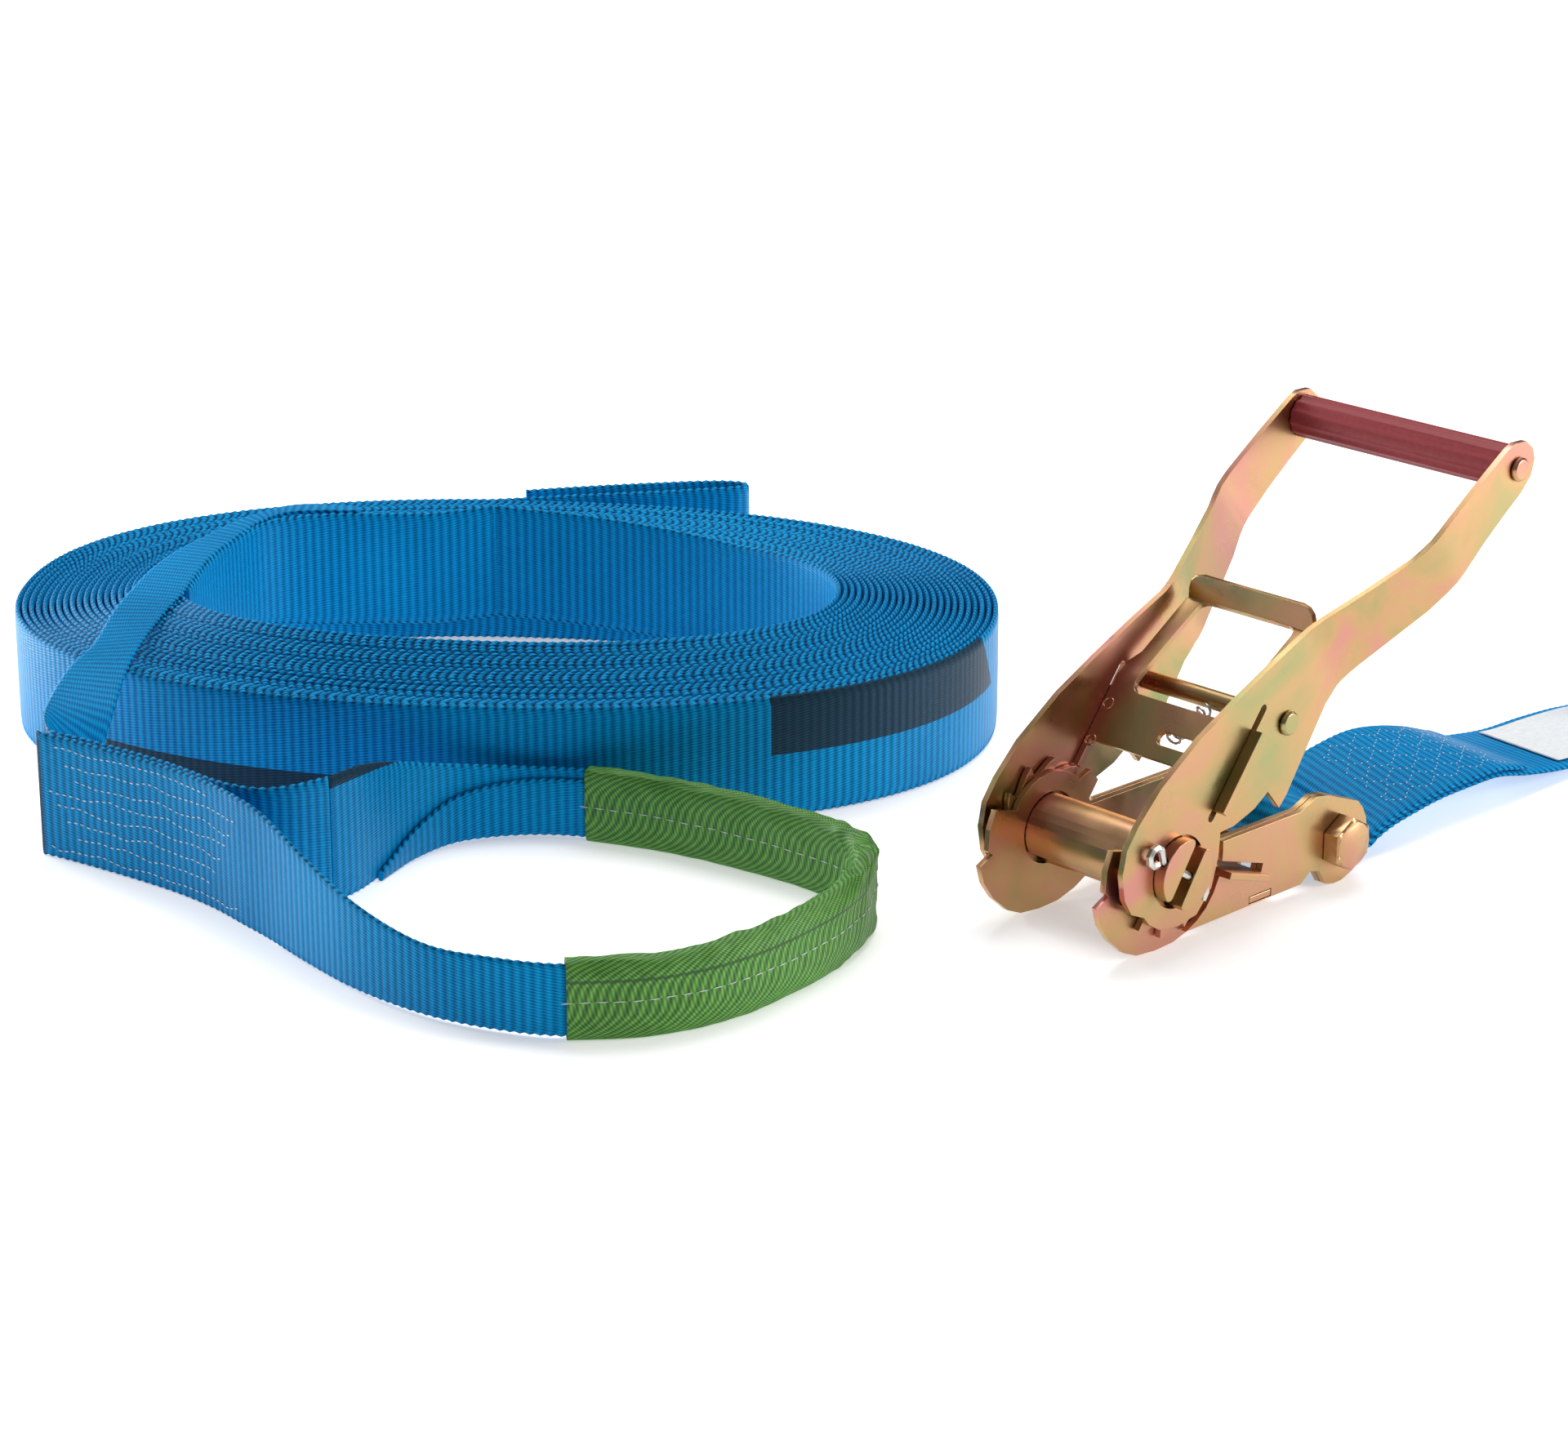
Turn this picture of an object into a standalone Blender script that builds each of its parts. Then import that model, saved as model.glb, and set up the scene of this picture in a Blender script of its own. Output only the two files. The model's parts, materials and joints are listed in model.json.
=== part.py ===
"""A slackline kit: a coiled line with a sleeved eye, and its ratchet with a short sewn strap.

Metres, +Z up. X runs along the ratchet from its drum to its anchor bolt, Y to its far side.
"""

import math

import bmesh
import bpy
from mathutils import Matrix, Vector
from mathutils.geometry import tessellate_polygon

mm = 0.001
deg = math.pi / 180

# Clearances
seat_gap = 0.3 * mm
run_gap = 0.4 * mm
over = 2.0 * mm

# Webbing
web_width = 50 * mm
web_thick = 1.9 * mm

# Ratchet: lanes outward from the middle
axis_height = 31 * mm
side_room = 2.2 * mm
side_plate = 2.5 * mm
wheel_thick = 2.6 * mm
arm_plate = 2.5 * mm
drum_proud = 5.0 * mm
side_in = web_width / 2 + side_room
side_out = side_in + side_plate
wheel_in = side_out + seat_gap
wheel_out = wheel_in + wheel_thick
arm_in = wheel_out + run_gap
arm_out = arm_in + arm_plate
drum_end = arm_out + drum_proud

# Drum and ratchet wheels
drum_radius = 13.5 * mm
drum_slot = 6.5 * mm
drum_slot_turn = 56 * deg
drum_corner = 2.0 * mm
bore_radius = drum_radius + run_gap
tooth_count = 12
tooth_tip = 25.7 * mm
tooth_root = 20.2 * mm
tooth_turn = 47.5 * deg
tooth_back_share = 0.93
tooth_back_power = 1.3
back_steps = 4
cotter_wire = 1.5 * mm
cotter_eye = 3.4 * mm
cotter_eye_first_turn = 325 * deg
cotter_eye_last_turn = 31 * deg
cotter_inset = 2.4 * mm
cotter_room = 0.5 * mm
cotter_leg = 5.0 * mm

# Frame sides, in shares of the span from the drum to the anchor bolt
bolt_span = 95 * mm
bolt_drop = 14 * mm
ear_radius = 17 * mm
ear_inset = 0.5 * mm
ear_first_turn = 50 * deg
ear_last_turn = -112 * deg
lobe_shares = [
    (0.21, -0.263), (0.147, -0.295), (0.053, -0.321), (-0.053, -0.326), (-0.158, -0.316),
    (-0.232, -0.284), (-0.316, -0.211), (-0.368, -0.137), (-0.389, -0.063), (-0.322, -0.03),
    (-0.347, -0.01), (-0.337, 0.074), (-0.305, 0.147), (-0.189, 0.116),
]
front_radius = 21.5 * mm
front_first_turn = 142 * deg
front_last_turn = 48 * deg
seat_shares = [(0.163, 0.153), (0.232, 0.179), (0.274, 0.126), (0.226, 0.063), (0.237, 0.034)]
shoulder_shares = [(0.755, 0.034), (0.81, 0.053), (0.85, 0.072), (0.92, 0.062)]
belly_depth = 26 * mm
belly_shares = [(0.885, 0.906), (0.83, 0.859), (0.77, 1), (0.28, 1)]
rear_front_radius = 28.0 * mm
rear_front_first_turn = -72 * deg
rear_front_last_turn = 7 * deg

# Base between the sides, with the seat of the frame pawl's spring
base_thick = 2.5 * mm
base_start = 38 * mm
base_reach = 50.75 * mm
base_span_share = 0.15
base_bend = base_reach + base_span_share * bolt_span
base_rise = 0.5 * mm
seat_height = 13 * mm
seat_width = 18 * mm
base_tab = 12 * mm
base_tab_start = 44 * mm

# Frame pawl, a plate that slides toward the drum
frame_pawl_turn = -17 * deg
frame_pawl_thick = 2.8 * mm
pawl_lift = 0.5 * mm
pawl_ear_out = 3.6 * mm
frame_pawl_rear = 49.5 * mm
frame_pawl_front = 31 * mm
frame_pawl_back_travel = 2.0 * mm
pawl_bite = 2.8 * mm
frame_slot_room = 2.6 * mm

# Handle: outline in shares of the distance from the drum to the grip
arm_length = 205 * mm
arm_turn = 36.7 * deg
grip_drop = 2.5 * mm
arm_upper_shares = [
    (1.02, 0.035), (1.0, 0.04), (0.96, 0.043), (0.9, 0.048), (0.8, 0.053), (0.71, 0.053), (0.62, 0.068),
    (0.48, 0.095), (0.4, 0.115), (0.29, 0.139), (0.18, 0.159), (0.06, 0.166), (-0.02, 0.156),
    (-0.066, 0.142), (-0.1, 0.112), (-0.122, 0.07), (-0.126, 0.034), (-0.108, 0.002), (-0.107, -0.02),
]
arm_heel_shares = [(-0.095, -0.05), (-0.06, -0.085), (-0.015, -0.108), (0.04, -0.098), (0.086, -0.064)]
arm_lower_shares = [
    (0.115, -0.03), (0.146, -0.05), (0.2, -0.068), (0.243, -0.071), (0.246, -0.122), (0.275, -0.117),
    (0.32, -0.101), (0.375, -0.082), (0.442, -0.059), (0.483, -0.054), (0.54, -0.056), (0.63, -0.062),
    (0.69, -0.066), (0.78, -0.06), (0.85, -0.056), (0.92, -0.056), (0.98, -0.058), (1.02, -0.052),
]
arm_tip_shares = [(1.045, -0.033), (1.052, -0.012), (1.045, 0.015)]
flare_start = 102 * mm
flare_end = 156 * mm
flare_out = 17.5 * mm
flare_round = 5.0 * mm

# Grip, rivets and spacer
grip_radius = 8.4 * mm
flute_depth = 0.7 * mm
flute_count = 12
rivet_radius = 3.4 * mm
rivet_head = 4.7 * mm
rivet_head_tall = 2.0 * mm
rod_along = 72 * mm
rod_drop = 0.7 * mm
rod_radius = 3.7 * mm
rod_rivet = 2.4 * mm

# Handle pawl, a bent plate that slides in slots of the arms
handle_pawl_turn = 15.3 * deg
handle_pawl_thick = 2.5 * mm
pawl_tip_along = 25.9 * mm
pawl_tip_up = 3.4 * mm
tab_long = 33 * mm
tab_out = 5.0 * mm
pawl_run = 38 * mm
pawl_leg_run = 43 * mm
pawl_leg_turn = -4.4 * deg
bar_run = 9.7 * mm
bar_turn = 52 * deg
pawl_relief = 11 * mm
pawl_waist = 44 * mm
bar_half = 30 * mm
bar_corner = 6.0 * mm
window_half = 23 * mm
window_corner = 4.0 * mm
window_from = 33 * mm
window_to = 80 * mm
pawl_slot_from = 17 * mm
pawl_slot_to = 22.5 * mm
pawl_slot_half = 8.0 * mm
pawl_slot_side = 6.0 * mm
pawl_slot_corner_share = 0.45
pawl_pull = 9.0 * mm

# Springs
spring_wire = 0.55 * mm
spring_radius = 2.6 * mm
spring_turn_count = 7
spring_point_count = 8
spring_below = 4.6 * mm
spring_room = 0.35 * mm
spring_floor_gap = 0.35 * mm

# Anchor bolt, nut and sleeve
bolt_radius = 6.0 * mm
hex_half = 9.2 * mm
bolt_head_tall = 7.0 * mm
nut_tall = 9.5 * mm
bolt_thread_out = 3.0 * mm
sleeve_wall = 2.2 * mm
chamfer = 0.8 * mm

# Short strap: the distance from the anchor bolt, the height of its lower layer's middle, and its tilt
strap_layer_gap = 0.5 * mm
strap_route = [
    (29, 10.3, 14.7), (41, 14.8, 15.9), (55, 17.25, 16.3), (73, 18.8, 15.4), (91, 17.65, 11.5),
    (109, 15.05, 6), (127, 10, 3), (145, 6.75, 2.7), (163, 4.6, 2.3), (185, 4, 2.1), (207, 2.95, 1.4),
    (229, 1.15, 0), (247, 1.15, 0), (263, 1.15, 0),
]
strap_sewn_count = 6
wrap_first_turn = 60 * deg
wrap_last_turn = 285 * deg
roll_core = 9 * mm
roll_turn_count = 11
roll_gap = 0.5 * mm
tag_from_share = 0.18
tag_long = 74 * mm
tag_wide = 40 * mm
tag_thick = 0.6 * mm
tag_gap = 0.5 * mm

# Line: the coil stands on edge, its frame turned to the ratchet's
line_turn = -44.03 * deg
coil_place = (-1.4 * mm, 330.9 * mm)
coil_turn = -6 * deg
coil_outer_long = 204 * mm
coil_outer_wide = 139 * mm
coil_inner_long = 135.5 * mm
coil_inner_wide = 90 * mm
coil_power = 2.2
coil_turn_count = 24
loop_point_count = 24
coil_first_turn = 97 * deg
coil_rise = 9 * mm
coil_rise_share = 0.8
coil_band = 1.6 * mm
join_gap = 0.4 * mm
join_room = 4.0 * mm

# The folded end behind the coil, in shares of the coil's outer half sizes
fold_shares = [
    (-0.0392, 1.018), (0.0196, 1.036), (0.1078, 1.0612), (0.2647, 1.0971), (0.402, 1.1367), (0.4559, 1.1554),
    (0.4779, 1.1842), (0.4559, 1.2115), (0.3922, 1.2187), (0.2647, 1.1942), (0.0931, 1.1475), (-0.0833, 1.0863),
]
# Routes from the middle of the coil, in millimetres: the lead's upper edge, and the way down its width
lead_route = [
    ((-26, 87.5, 59.5), (0, 0, -1)), ((-54, 83, 60), (0, 0, -1)), ((-86, 72, 62.5), (0.15, -0.2, -0.97)),
    ((-112, 55, 64), (0.45, -0.3, -0.84)), ((-136, 25, 63.5), (0.86, -0.24, -0.45)),
    ((-150, -8, 63), (0.97, -0.2, -0.14)), ((-156, -48, 61.5), (0.98, 0.15, 0.05)),
    ((-160, -86, 60), (0.8, 0.6, 0.03)), ((-166, -116, 58.5), (0.5, 0.85, 0)),
    ((-169, -136, 58), (0.32, 0.94, -0.08)), ((-171, -150, 55), (0.16, 0.5, -0.85)),
    ((-169, -160, 51.5), (0, 0.1, -0.995)), ((-162.7, -166, 50.4), (0, 0, -1)),
    ((-146.6, -176.5, 50.4), (0, 0, -1)), ((-116.5, -198.9, 50.4), (0, 0, -1)),
    ((-96.3, -217.9, 50.4), (0, 0, -1)), ((-87, -224.5, 50.4), (0, 0, -1)), ((-77, -228, 50.4), (0, 0, -1)),
    ((-66, -225, 50.4), (0, 0, -1)), ((-54, -216, 50.4), (0, 0, -1)),
]
# Eye: along, across, height of the web there, and how doubled it is
eye_route = [
    (-164, -168, 50, 0), (-148, -178.5, 50, 0), (-118, -200.8, 50, 0), (-98, -219.5, 50, 0),
    (-84, -237, 50, 0), (-73, -251, 48, 0.1), (-56, -275, 41, 0.45), (-36, -300, 33, 0.85),
    (-11, -322, 27, 1), (14, -335, 27, 1), (39, -341, 27, 1), (69, -337, 27, 1), (94, -323, 27, 1),
    (116, -300, 27, 1), (134, -272, 27, 1), (143, -245, 27, 1), (141, -222, 27, 1), (126, -203, 27, 1),
    (99, -181, 27, 1), (69, -162, 27, 1), (39, -150, 27, 1), (14, -147.5, 27.5, 1), (-11, -154, 31, 0.85),
    (-27, -169, 38, 0.45), (-37, -186, 45, 0.1), (-45, -203, 49.6, 0), (-53.75, -215.7, 50, 0),
]
eye_thick = 4.0 * mm
sleeve_skip_count = 10
sleeve_last_count = 20
sleeve_skin = 1.1 * mm
sleeve_bore_gap = 0.4 * mm
sleeve_swell = 0.7 * mm
route_steps = 3


def material(name, colour, metallic, roughness):
    made = bpy.data.materials.new(name)
    made.use_nodes = True
    shader = made.node_tree.nodes["Principled BSDF"]
    shader.inputs["Base Color"].default_value = (*colour, 1)
    shader.inputs["Metallic"].default_value = metallic
    shader.inputs["Roughness"].default_value = roughness
    made.diffuse_color = (*colour, 1)
    return made


def empty(name, parent=None, place=(0, 0, 0), turn=0, about="Z"):
    made = bpy.data.objects.new(name, None)
    bpy.context.scene.collection.objects.link(made)
    made.parent = parent
    made.location = place
    setattr(made.rotation_euler, about.lower(), turn)
    return made


def add(name, shape, finish, parent):
    """Makes an object of a bmesh whose faces are turned outward."""
    bmesh.ops.recalc_face_normals(shape, faces=shape.faces)
    if shape.calc_volume(signed=True) < 0:
        bmesh.ops.reverse_faces(shape, faces=shape.faces)
    mesh = bpy.data.meshes.new(name)
    shape.to_mesh(mesh)
    shape.free()
    mesh.materials.append(finish)
    made = bpy.data.objects.new(name, mesh)
    bpy.context.scene.collection.objects.link(made)
    made.parent = parent
    return made


def arc(middle, radius, start, end, steps):
    return [
        (middle[0] + radius * math.cos(a), middle[1] + radius * math.sin(a))
        for a in (start + (end - start) * k / steps for k in range(steps + 1))
    ]


def circle(middle, radius, sides):
    return arc(middle, radius, 0, 2 * math.pi, sides)[:-1]


def slot(start, end, half):
    """A long hole with round ends, from start to end."""
    way = math.atan2(end[1] - start[1], end[0] - start[0])
    quarter = math.pi / 2
    far_end = arc(end, half, way - quarter, way + quarter, 4)
    return far_end + arc(start, half, way + quarter, way + 3 * quarter, 4)


def block(low, high, corner):
    """A rectangle with rounded corners."""
    quarter = math.pi / 2
    corners = [(high[0], high[1], 0), (low[0], high[1], 1), (low[0], low[1], 2), (high[0], low[1], 3)]
    points = []
    for x, y, k in corners:
        middle = (
            x - math.copysign(corner, x - low[0] - corner), y - math.copysign(corner, y - low[1] - corner)
        )
        points += arc(middle, corner, k * quarter, (k + 1) * quarter, 3)
    return points


def scaled(shares, size):
    return [(x * size, z * size) for x, z in shares]


def sheet(outline, holes, low, high):
    """A flat plate: the outline and its holes in X and Z, from low to high in Y."""
    shape = bmesh.new()
    loops = [outline, *holes]
    flat = [Vector((x, z, 0)) for loop in loops for x, z in loop]
    faces = tessellate_polygon([[Vector((x, z, 0)) for x, z in loop] for loop in loops])
    sides = [[shape.verts.new((p.x, y, p.y)) for p in flat] for y in (low, high)]
    for a, b, c in faces:
        shape.faces.new((sides[0][a], sides[0][b], sides[0][c]))
        shape.faces.new((sides[1][c], sides[1][b], sides[1][a]))
    first = 0
    for loop in loops:
        for k in range(len(loop)):
            a, b = first + k, first + (k + 1) % len(loop)
            shape.faces.new((sides[0][a], sides[0][b], sides[1][b], sides[1][a]))
        first += len(loop)
    return shape


def cross_cut(shape, places):
    for place in places:
        bmesh.ops.bisect_plane(
            shape, geom=[*shape.verts, *shape.edges, *shape.faces], plane_co=(place, 0, 0), plane_no=(1, 0, 0)
        )


def loft(rings):
    """A solid through rings of points, its two ends closed."""
    shape = bmesh.new()
    made = [[shape.verts.new(p) for p in ring] for ring in rings]
    for low, high in zip(made, made[1:]):
        for k in range(len(low)):
            n = (k + 1) % len(low)
            shape.faces.new((low[k], low[n], high[n], high[k]))
    shape.faces.new(made[0][::-1])
    shape.faces.new(made[-1])
    return shape


def hollow_loft(outer, inner):
    """A tube between two sets of rings with as many points."""
    shape = bmesh.new()
    out, within = ([[shape.verts.new(p) for p in ring] for ring in rings] for rings in (outer, inner))
    count = len(out[0])
    for rings, flip in ((out, 1), (within, -1)):
        for low, high in zip(rings, rings[1:]):
            for k in range(count):
                n = (k + 1) % count
                shape.faces.new((low[k], low[n], high[n], high[k])[::flip])
    for k in range(count):
        n = (k + 1) % count
        shape.faces.new((out[0][n], out[0][k], within[0][k], within[0][n]))
        shape.faces.new((out[-1][k], out[-1][n], within[-1][n], within[-1][k]))
    return shape


def ring_y(y, radius, sides, middle=(0, 0)):
    return [(middle[0] + r * math.cos(a), y, middle[1] + r * math.sin(a)) for a, r in radius_at(radius, sides)]


def radius_at(radius, sides):
    """Angles round the Y axis with the radius there, which is a number or a function of the angle."""
    angles = [2 * math.pi * k / sides for k in range(sides)]
    return [(a, radius(a) if callable(radius) else radius) for a in angles]


def hexagon(half):
    """The radius of a hexagon, half its width across flats, with corners up and down."""

    def radius(angle):
        within = (angle % (math.pi / 3)) - math.pi / 6
        return half / math.cos(abs(abs(within) - math.pi / 6))

    return radius


def turned(rows, sides, middle=(0, 0)):
    return loft([ring_y(y, r, sides, middle) for y, r in rows])


def turned_tube(rows, bore, sides, middle=(0, 0)):
    inner = [ring_y(y, bore, sides, middle) for y, _ in rows]
    return hollow_loft([ring_y(y, r, sides, middle) for y, r in rows], inner)


def smooth(points, steps):
    """Points on one smooth curve through a list of tuples of any length."""
    found = []
    for i in range(len(points) - 1):
        a, b, c, d = (points[min(max(i + k, 0), len(points) - 1)] for k in (-1, 0, 1, 2))
        for k in range(steps):
            t = k / steps
            found.append(tuple(
                0.5 * (2 * q + (r - p) * t + (2 * p - 5 * q + 4 * r - s) * t**2
                       + (3 * q - p - 3 * r + s) * t**3)
                for p, q, r, s in zip(a, b, c, d)
            ))
    return [*found, tuple(points[-1])]


def band_rings(middles, ups, widths, thicks):
    """Four corners at each middle: ups is the direction of the width."""
    rings = []
    for i, (middle, up, width, thick) in enumerate(zip(middles, ups, widths, thicks)):
        along = middles[min(i + 1, len(middles) - 1)] - middles[max(i - 1, 0)]
        up = up.normalized()
        side = along.cross(up).normalized()
        rings.append([
            middle + up * (width / 2 * a) + side * (thick / 2 * b)
            for a, b in ((1, 1), (1, -1), (-1, -1), (-1, 1))
        ])
    return rings


def cutter(name, shape, finish, parent):
    made = add(name, shape, finish, parent)
    made.hide_render = True
    made.display_type = "WIRE"
    return made


def cut(target, tool):
    bore = target.modifiers.new("cut_" + tool.name, "BOOLEAN")
    bore.operation = "DIFFERENCE"
    bore.solver = "EXACT"
    bore.object = tool


def plane_turn(point, angle):
    c, s = math.cos(angle), math.sin(angle)
    return (point[0] * c - point[1] * s, point[0] * s + point[1] * c)


def drum_outline(side, grow):
    """One D-shaped half of the drum, grown by a clearance, on one side of the slot."""
    radius = drum_radius + grow
    flat = drum_slot / 2 - grow
    reach = math.acos((flat + drum_corner) / (radius - drum_corner))
    middle_a = (flat + drum_corner, (radius - drum_corner) * math.sin(reach))
    points = arc((0, 0), radius, -reach, reach, 10)
    points += arc(middle_a, drum_corner, reach, math.pi, 3)[1:]
    points += arc((middle_a[0], -middle_a[1]), drum_corner, math.pi, 2 * math.pi - reach, 3)[:-1]
    return [plane_turn((x * side, z * side), drum_slot_turn - math.pi / 2) for x, z in points]


def make_drum(parent, finish, dark):
    """Two halves with the webbing's slot between them, their wheels and cotter pins."""
    pin_way = drum_slot_turn - math.pi / 2
    pin_y = arm_out + cotter_inset + seat_gap
    bores = []
    for name, y in (("near", -pin_y), ("far", pin_y)):
        shape = bmesh.new()
        bmesh.ops.create_cone(
            shape, cap_ends=True, segments=12, radius1=cotter_wire + seat_gap,
            radius2=cotter_wire + seat_gap, depth=2 * (drum_radius + over),
            matrix=Matrix.Translation((0, y, 0)) @ Matrix.Rotation(math.pi / 2 - pin_way, 4, "Y"),
        )
        bores.append(cutter("pin_bore_" + name, shape, dark, parent))
    for name, side in (("drum_half_rear", 1), ("drum_half_front", -1)):
        half = add(name, sheet(drum_outline(side, 0), [], -drum_end, drum_end), finish, parent)
        for bore in bores:
            cut(half, bore)
    for name, low in (("wheel_near", -wheel_out), ("wheel_far", wheel_in)):
        holes = [drum_outline(side, seat_gap) for side in (1, -1)]
        add(name, sheet(wheel_outline(), holes, low, low + wheel_thick), finish, parent)
    for name, y in (("cotter_pin_near", -pin_y), ("cotter_pin_far", pin_y)):
        make_cotter_pin(name, y, pin_way, parent, finish)


def wheel_outline():
    """Saw teeth: each has a steep face and a back that falls away in a curve."""
    points = []
    pitch = 2 * math.pi / tooth_count
    for k in range(tooth_count):
        start = tooth_turn + k * pitch
        for i in range(back_steps + 1):
            share = i / back_steps
            radius = tooth_tip - (tooth_tip - tooth_root) * math.sin(share * math.pi / 2) ** tooth_back_power
            angle = start + pitch * share * tooth_back_share
            points.append((radius * math.cos(angle), radius * math.sin(angle)))
    return points


def make_cotter_pin(name, y, way, parent, finish):
    """A round eye outside the drum, a shank through both halves, and a bent end."""
    head = drum_radius + cotter_room + cotter_wire
    eye = arc((-head - cotter_eye, 0), cotter_eye, cotter_eye_first_turn, cotter_eye_last_turn, 7)
    shank = [(-head + cotter_wire, 0), (0, 0), (head - cotter_wire, 0)]
    tail = [(head + cotter_room, -cotter_wire), (head + cotter_room, -cotter_leg)]
    path = [plane_turn(p, way) for p in [*eye, *shank, *tail]]
    tube(name, [(x, y, z) for x, z in path], cotter_wire, 1, parent, finish)


def tube(name, points, radius, roundness, parent, finish):
    """A round wire along a list of points."""
    line = bpy.data.curves.new(name, "CURVE")
    line.dimensions = "3D"
    line.bevel_depth = radius
    line.bevel_resolution = roundness
    line.use_fill_caps = True
    spline = line.splines.new("POLY")
    spline.points.add(len(points) - 1)
    for target, point in zip(spline.points, points):
        target.co = (*point, 1)
    line.materials.append(finish)
    made = bpy.data.objects.new(name, line)
    bpy.context.scene.collection.objects.link(made)
    made.parent = parent
    return made


def frame_pawl_point(along, across=0):
    """A place on the frame pawl's line, at a distance from the drum's axis and square to the line."""
    return plane_turn((along, across), frame_pawl_turn)


def belly():
    """The lower edge of a side, in shares of its length and of its depth."""
    return [(x * bolt_span, -z * belly_depth) for x, z in belly_shares]


def side_outline():
    """The frame side: lobe, stop, round front with the locking notch, shoulder, ear and belly."""
    ear = (bolt_span - ear_inset, -bolt_drop)
    return [
        *scaled(lobe_shares, bolt_span),
        *arc((0, 0), front_radius, front_first_turn, front_last_turn, 8),
        *scaled(seat_shares, bolt_span),
        *scaled(shoulder_shares, bolt_span),
        *arc(ear, ear_radius, ear_first_turn, ear_last_turn, 10),
        *belly(),
    ]


def rear_outline():
    """The outer plate of the frame side, from behind the wheel to the ear."""
    ear = (bolt_span - ear_inset, -bolt_drop)
    _, rear_low, rear_high, _ = frame_slot()
    low_turn, high_turn = (
        frame_pawl_turn + math.asin(across / rear_front_radius) for across in frame_slot_sides()
    )
    return [
        *arc((0, 0), rear_front_radius, rear_front_first_turn, low_turn, 4), rear_low, rear_high,
        *arc((0, 0), rear_front_radius, high_turn, rear_front_last_turn, 2),
        *scaled(shoulder_shares, bolt_span),
        *arc(ear, ear_radius, ear_first_turn, ear_last_turn, 10),
        *belly()[:-1],
    ]


def frame_slot_sides():
    return -frame_pawl_thick / 2 - seat_gap, frame_pawl_thick / 2 + frame_slot_room


def frame_slot():
    """The slot that the frame pawl slides in, with room above it."""
    front = tooth_tip + pawl_lift - pawl_bite - 2 * seat_gap
    rear = frame_pawl_rear + frame_pawl_back_travel + 2 * seat_gap
    low, high = frame_slot_sides()
    return [frame_pawl_point(x, z) for x, z in ((front, low), (rear, low), (rear, high), (front, high))]


def make_sides(parent, finish):
    bolt_hole = circle((bolt_span, -bolt_drop), bolt_radius + seat_gap, 20)
    tab_hole = base_tab_hole()
    for name, side in (("side_near", -1), ("side_far", 1)):
        low, high = sorted((side * side_in, side * side_out))
        holes = [circle((0, 0), bore_radius, 28), bolt_hole, frame_slot(), tab_hole]
        add("frame_" + name, sheet(side_outline(), holes, low, high), finish, parent)
        low, high = sorted((side * wheel_in, side * wheel_out))
        outer = sheet(rear_outline(), [bolt_hole, tab_hole], low, high)
        add("rear_plate" + name[4:], outer, finish, parent)


def base_height():
    return -belly_depth + base_rise + base_thick / 2


def base_tab_hole():
    low, high = base_height() - base_thick / 2 - seat_gap, base_height() + base_thick / 2 + seat_gap
    start, end = base_tab_start - seat_gap, base_tab_start + base_tab + seat_gap
    return [(start, low), (end, low), (end, high), (start, high)]


def make_base(parent, finish):
    """The floor of the frame: a plate with a tab into each side and the spring's seat bent up from it."""
    inside = side_in - seat_gap
    seat = seat_width / 2
    flat = base_bend + seat_height
    tab = wheel_out
    half = [
        (base_start, inside), (base_tab_start, inside), (base_tab_start, tab),
        (base_tab_start + base_tab, tab), (base_tab_start + base_tab, inside), (base_bend, inside),
        (base_bend, seat), (flat, seat),
    ]
    outline = [(x, y) for x, y in half] + [(x, -y) for x, y in half[::-1]]
    shape = sheet(outline, [], -base_thick / 2, base_thick / 2)
    cross_cut(shape, [base_bend - base_thick, base_bend + base_thick / 2])
    lean = math.pi / 2 + frame_pawl_turn
    bend = [(base_start, base_height()), (base_bend, base_height())]
    bend.append((base_bend + seat_height * math.cos(lean), base_height() + seat_height * math.sin(lean)))
    bend_along(shape, bend, base_start)
    add("frame_base", shape, finish, parent)


def bend_along(shape, path, start):
    """Bends a flat plate to a path in X and Z: its Z becomes Y, and its Y the height off the path."""
    lengths = [0]
    for a, b in zip(path, path[1:]):
        lengths.append(lengths[-1] + math.dist(a, b))
    ways = [math.atan2(b[1] - a[1], b[0] - a[0]) for a, b in zip(path, path[1:])]
    for vert in shape.verts:
        along, across, off = vert.co.x - start, vert.co.z, vert.co.y
        k = max(i for i in range(len(ways)) if i == 0 or along >= lengths[i])
        way = ways[k]
        reach = along - lengths[k]
        x = path[k][0] + reach * math.cos(way)
        z = path[k][1] + reach * math.sin(way)
        vert.co = (x - off * math.sin(way), across, z + off * math.cos(way))


def make_frame_pawl(parent, finish):
    front = tooth_tip + pawl_lift
    ear = arm_out + pawl_ear_out
    half = [
        (frame_pawl_front, wheel_in - 2 * seat_gap), (front, wheel_in - 2 * seat_gap), (front, ear),
        (frame_pawl_rear, ear), (frame_pawl_rear, side_in - seat_gap),
    ]
    outline = [*half, *[(x, -y) for x, y in half[::-1]]]
    shape = sheet(outline, [], -frame_pawl_thick / 2, frame_pawl_thick / 2)
    bend_along(shape, [(0, 0), frame_pawl_point(frame_pawl_rear)], 0)
    add("frame_pawl", shape, finish, parent)


def helix(start, end, radius, turns, points_per_turn):
    """Points of a coil spring whose axis runs from start to end in X and Z."""
    way = Vector((end[0] - start[0], 0, end[1] - start[1]))
    up = Vector((-way.z, 0, way.x)).normalized()
    points = []
    steps = turns * points_per_turn
    for k in range(steps + 1):
        share = k / steps
        angle = 2 * math.pi * turns * share
        middle = Vector((start[0], 0, start[1])) + way * share
        points.append(middle + up * (radius * math.cos(angle)) + Vector((0, radius * math.sin(angle), 0)))
    return points


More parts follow.
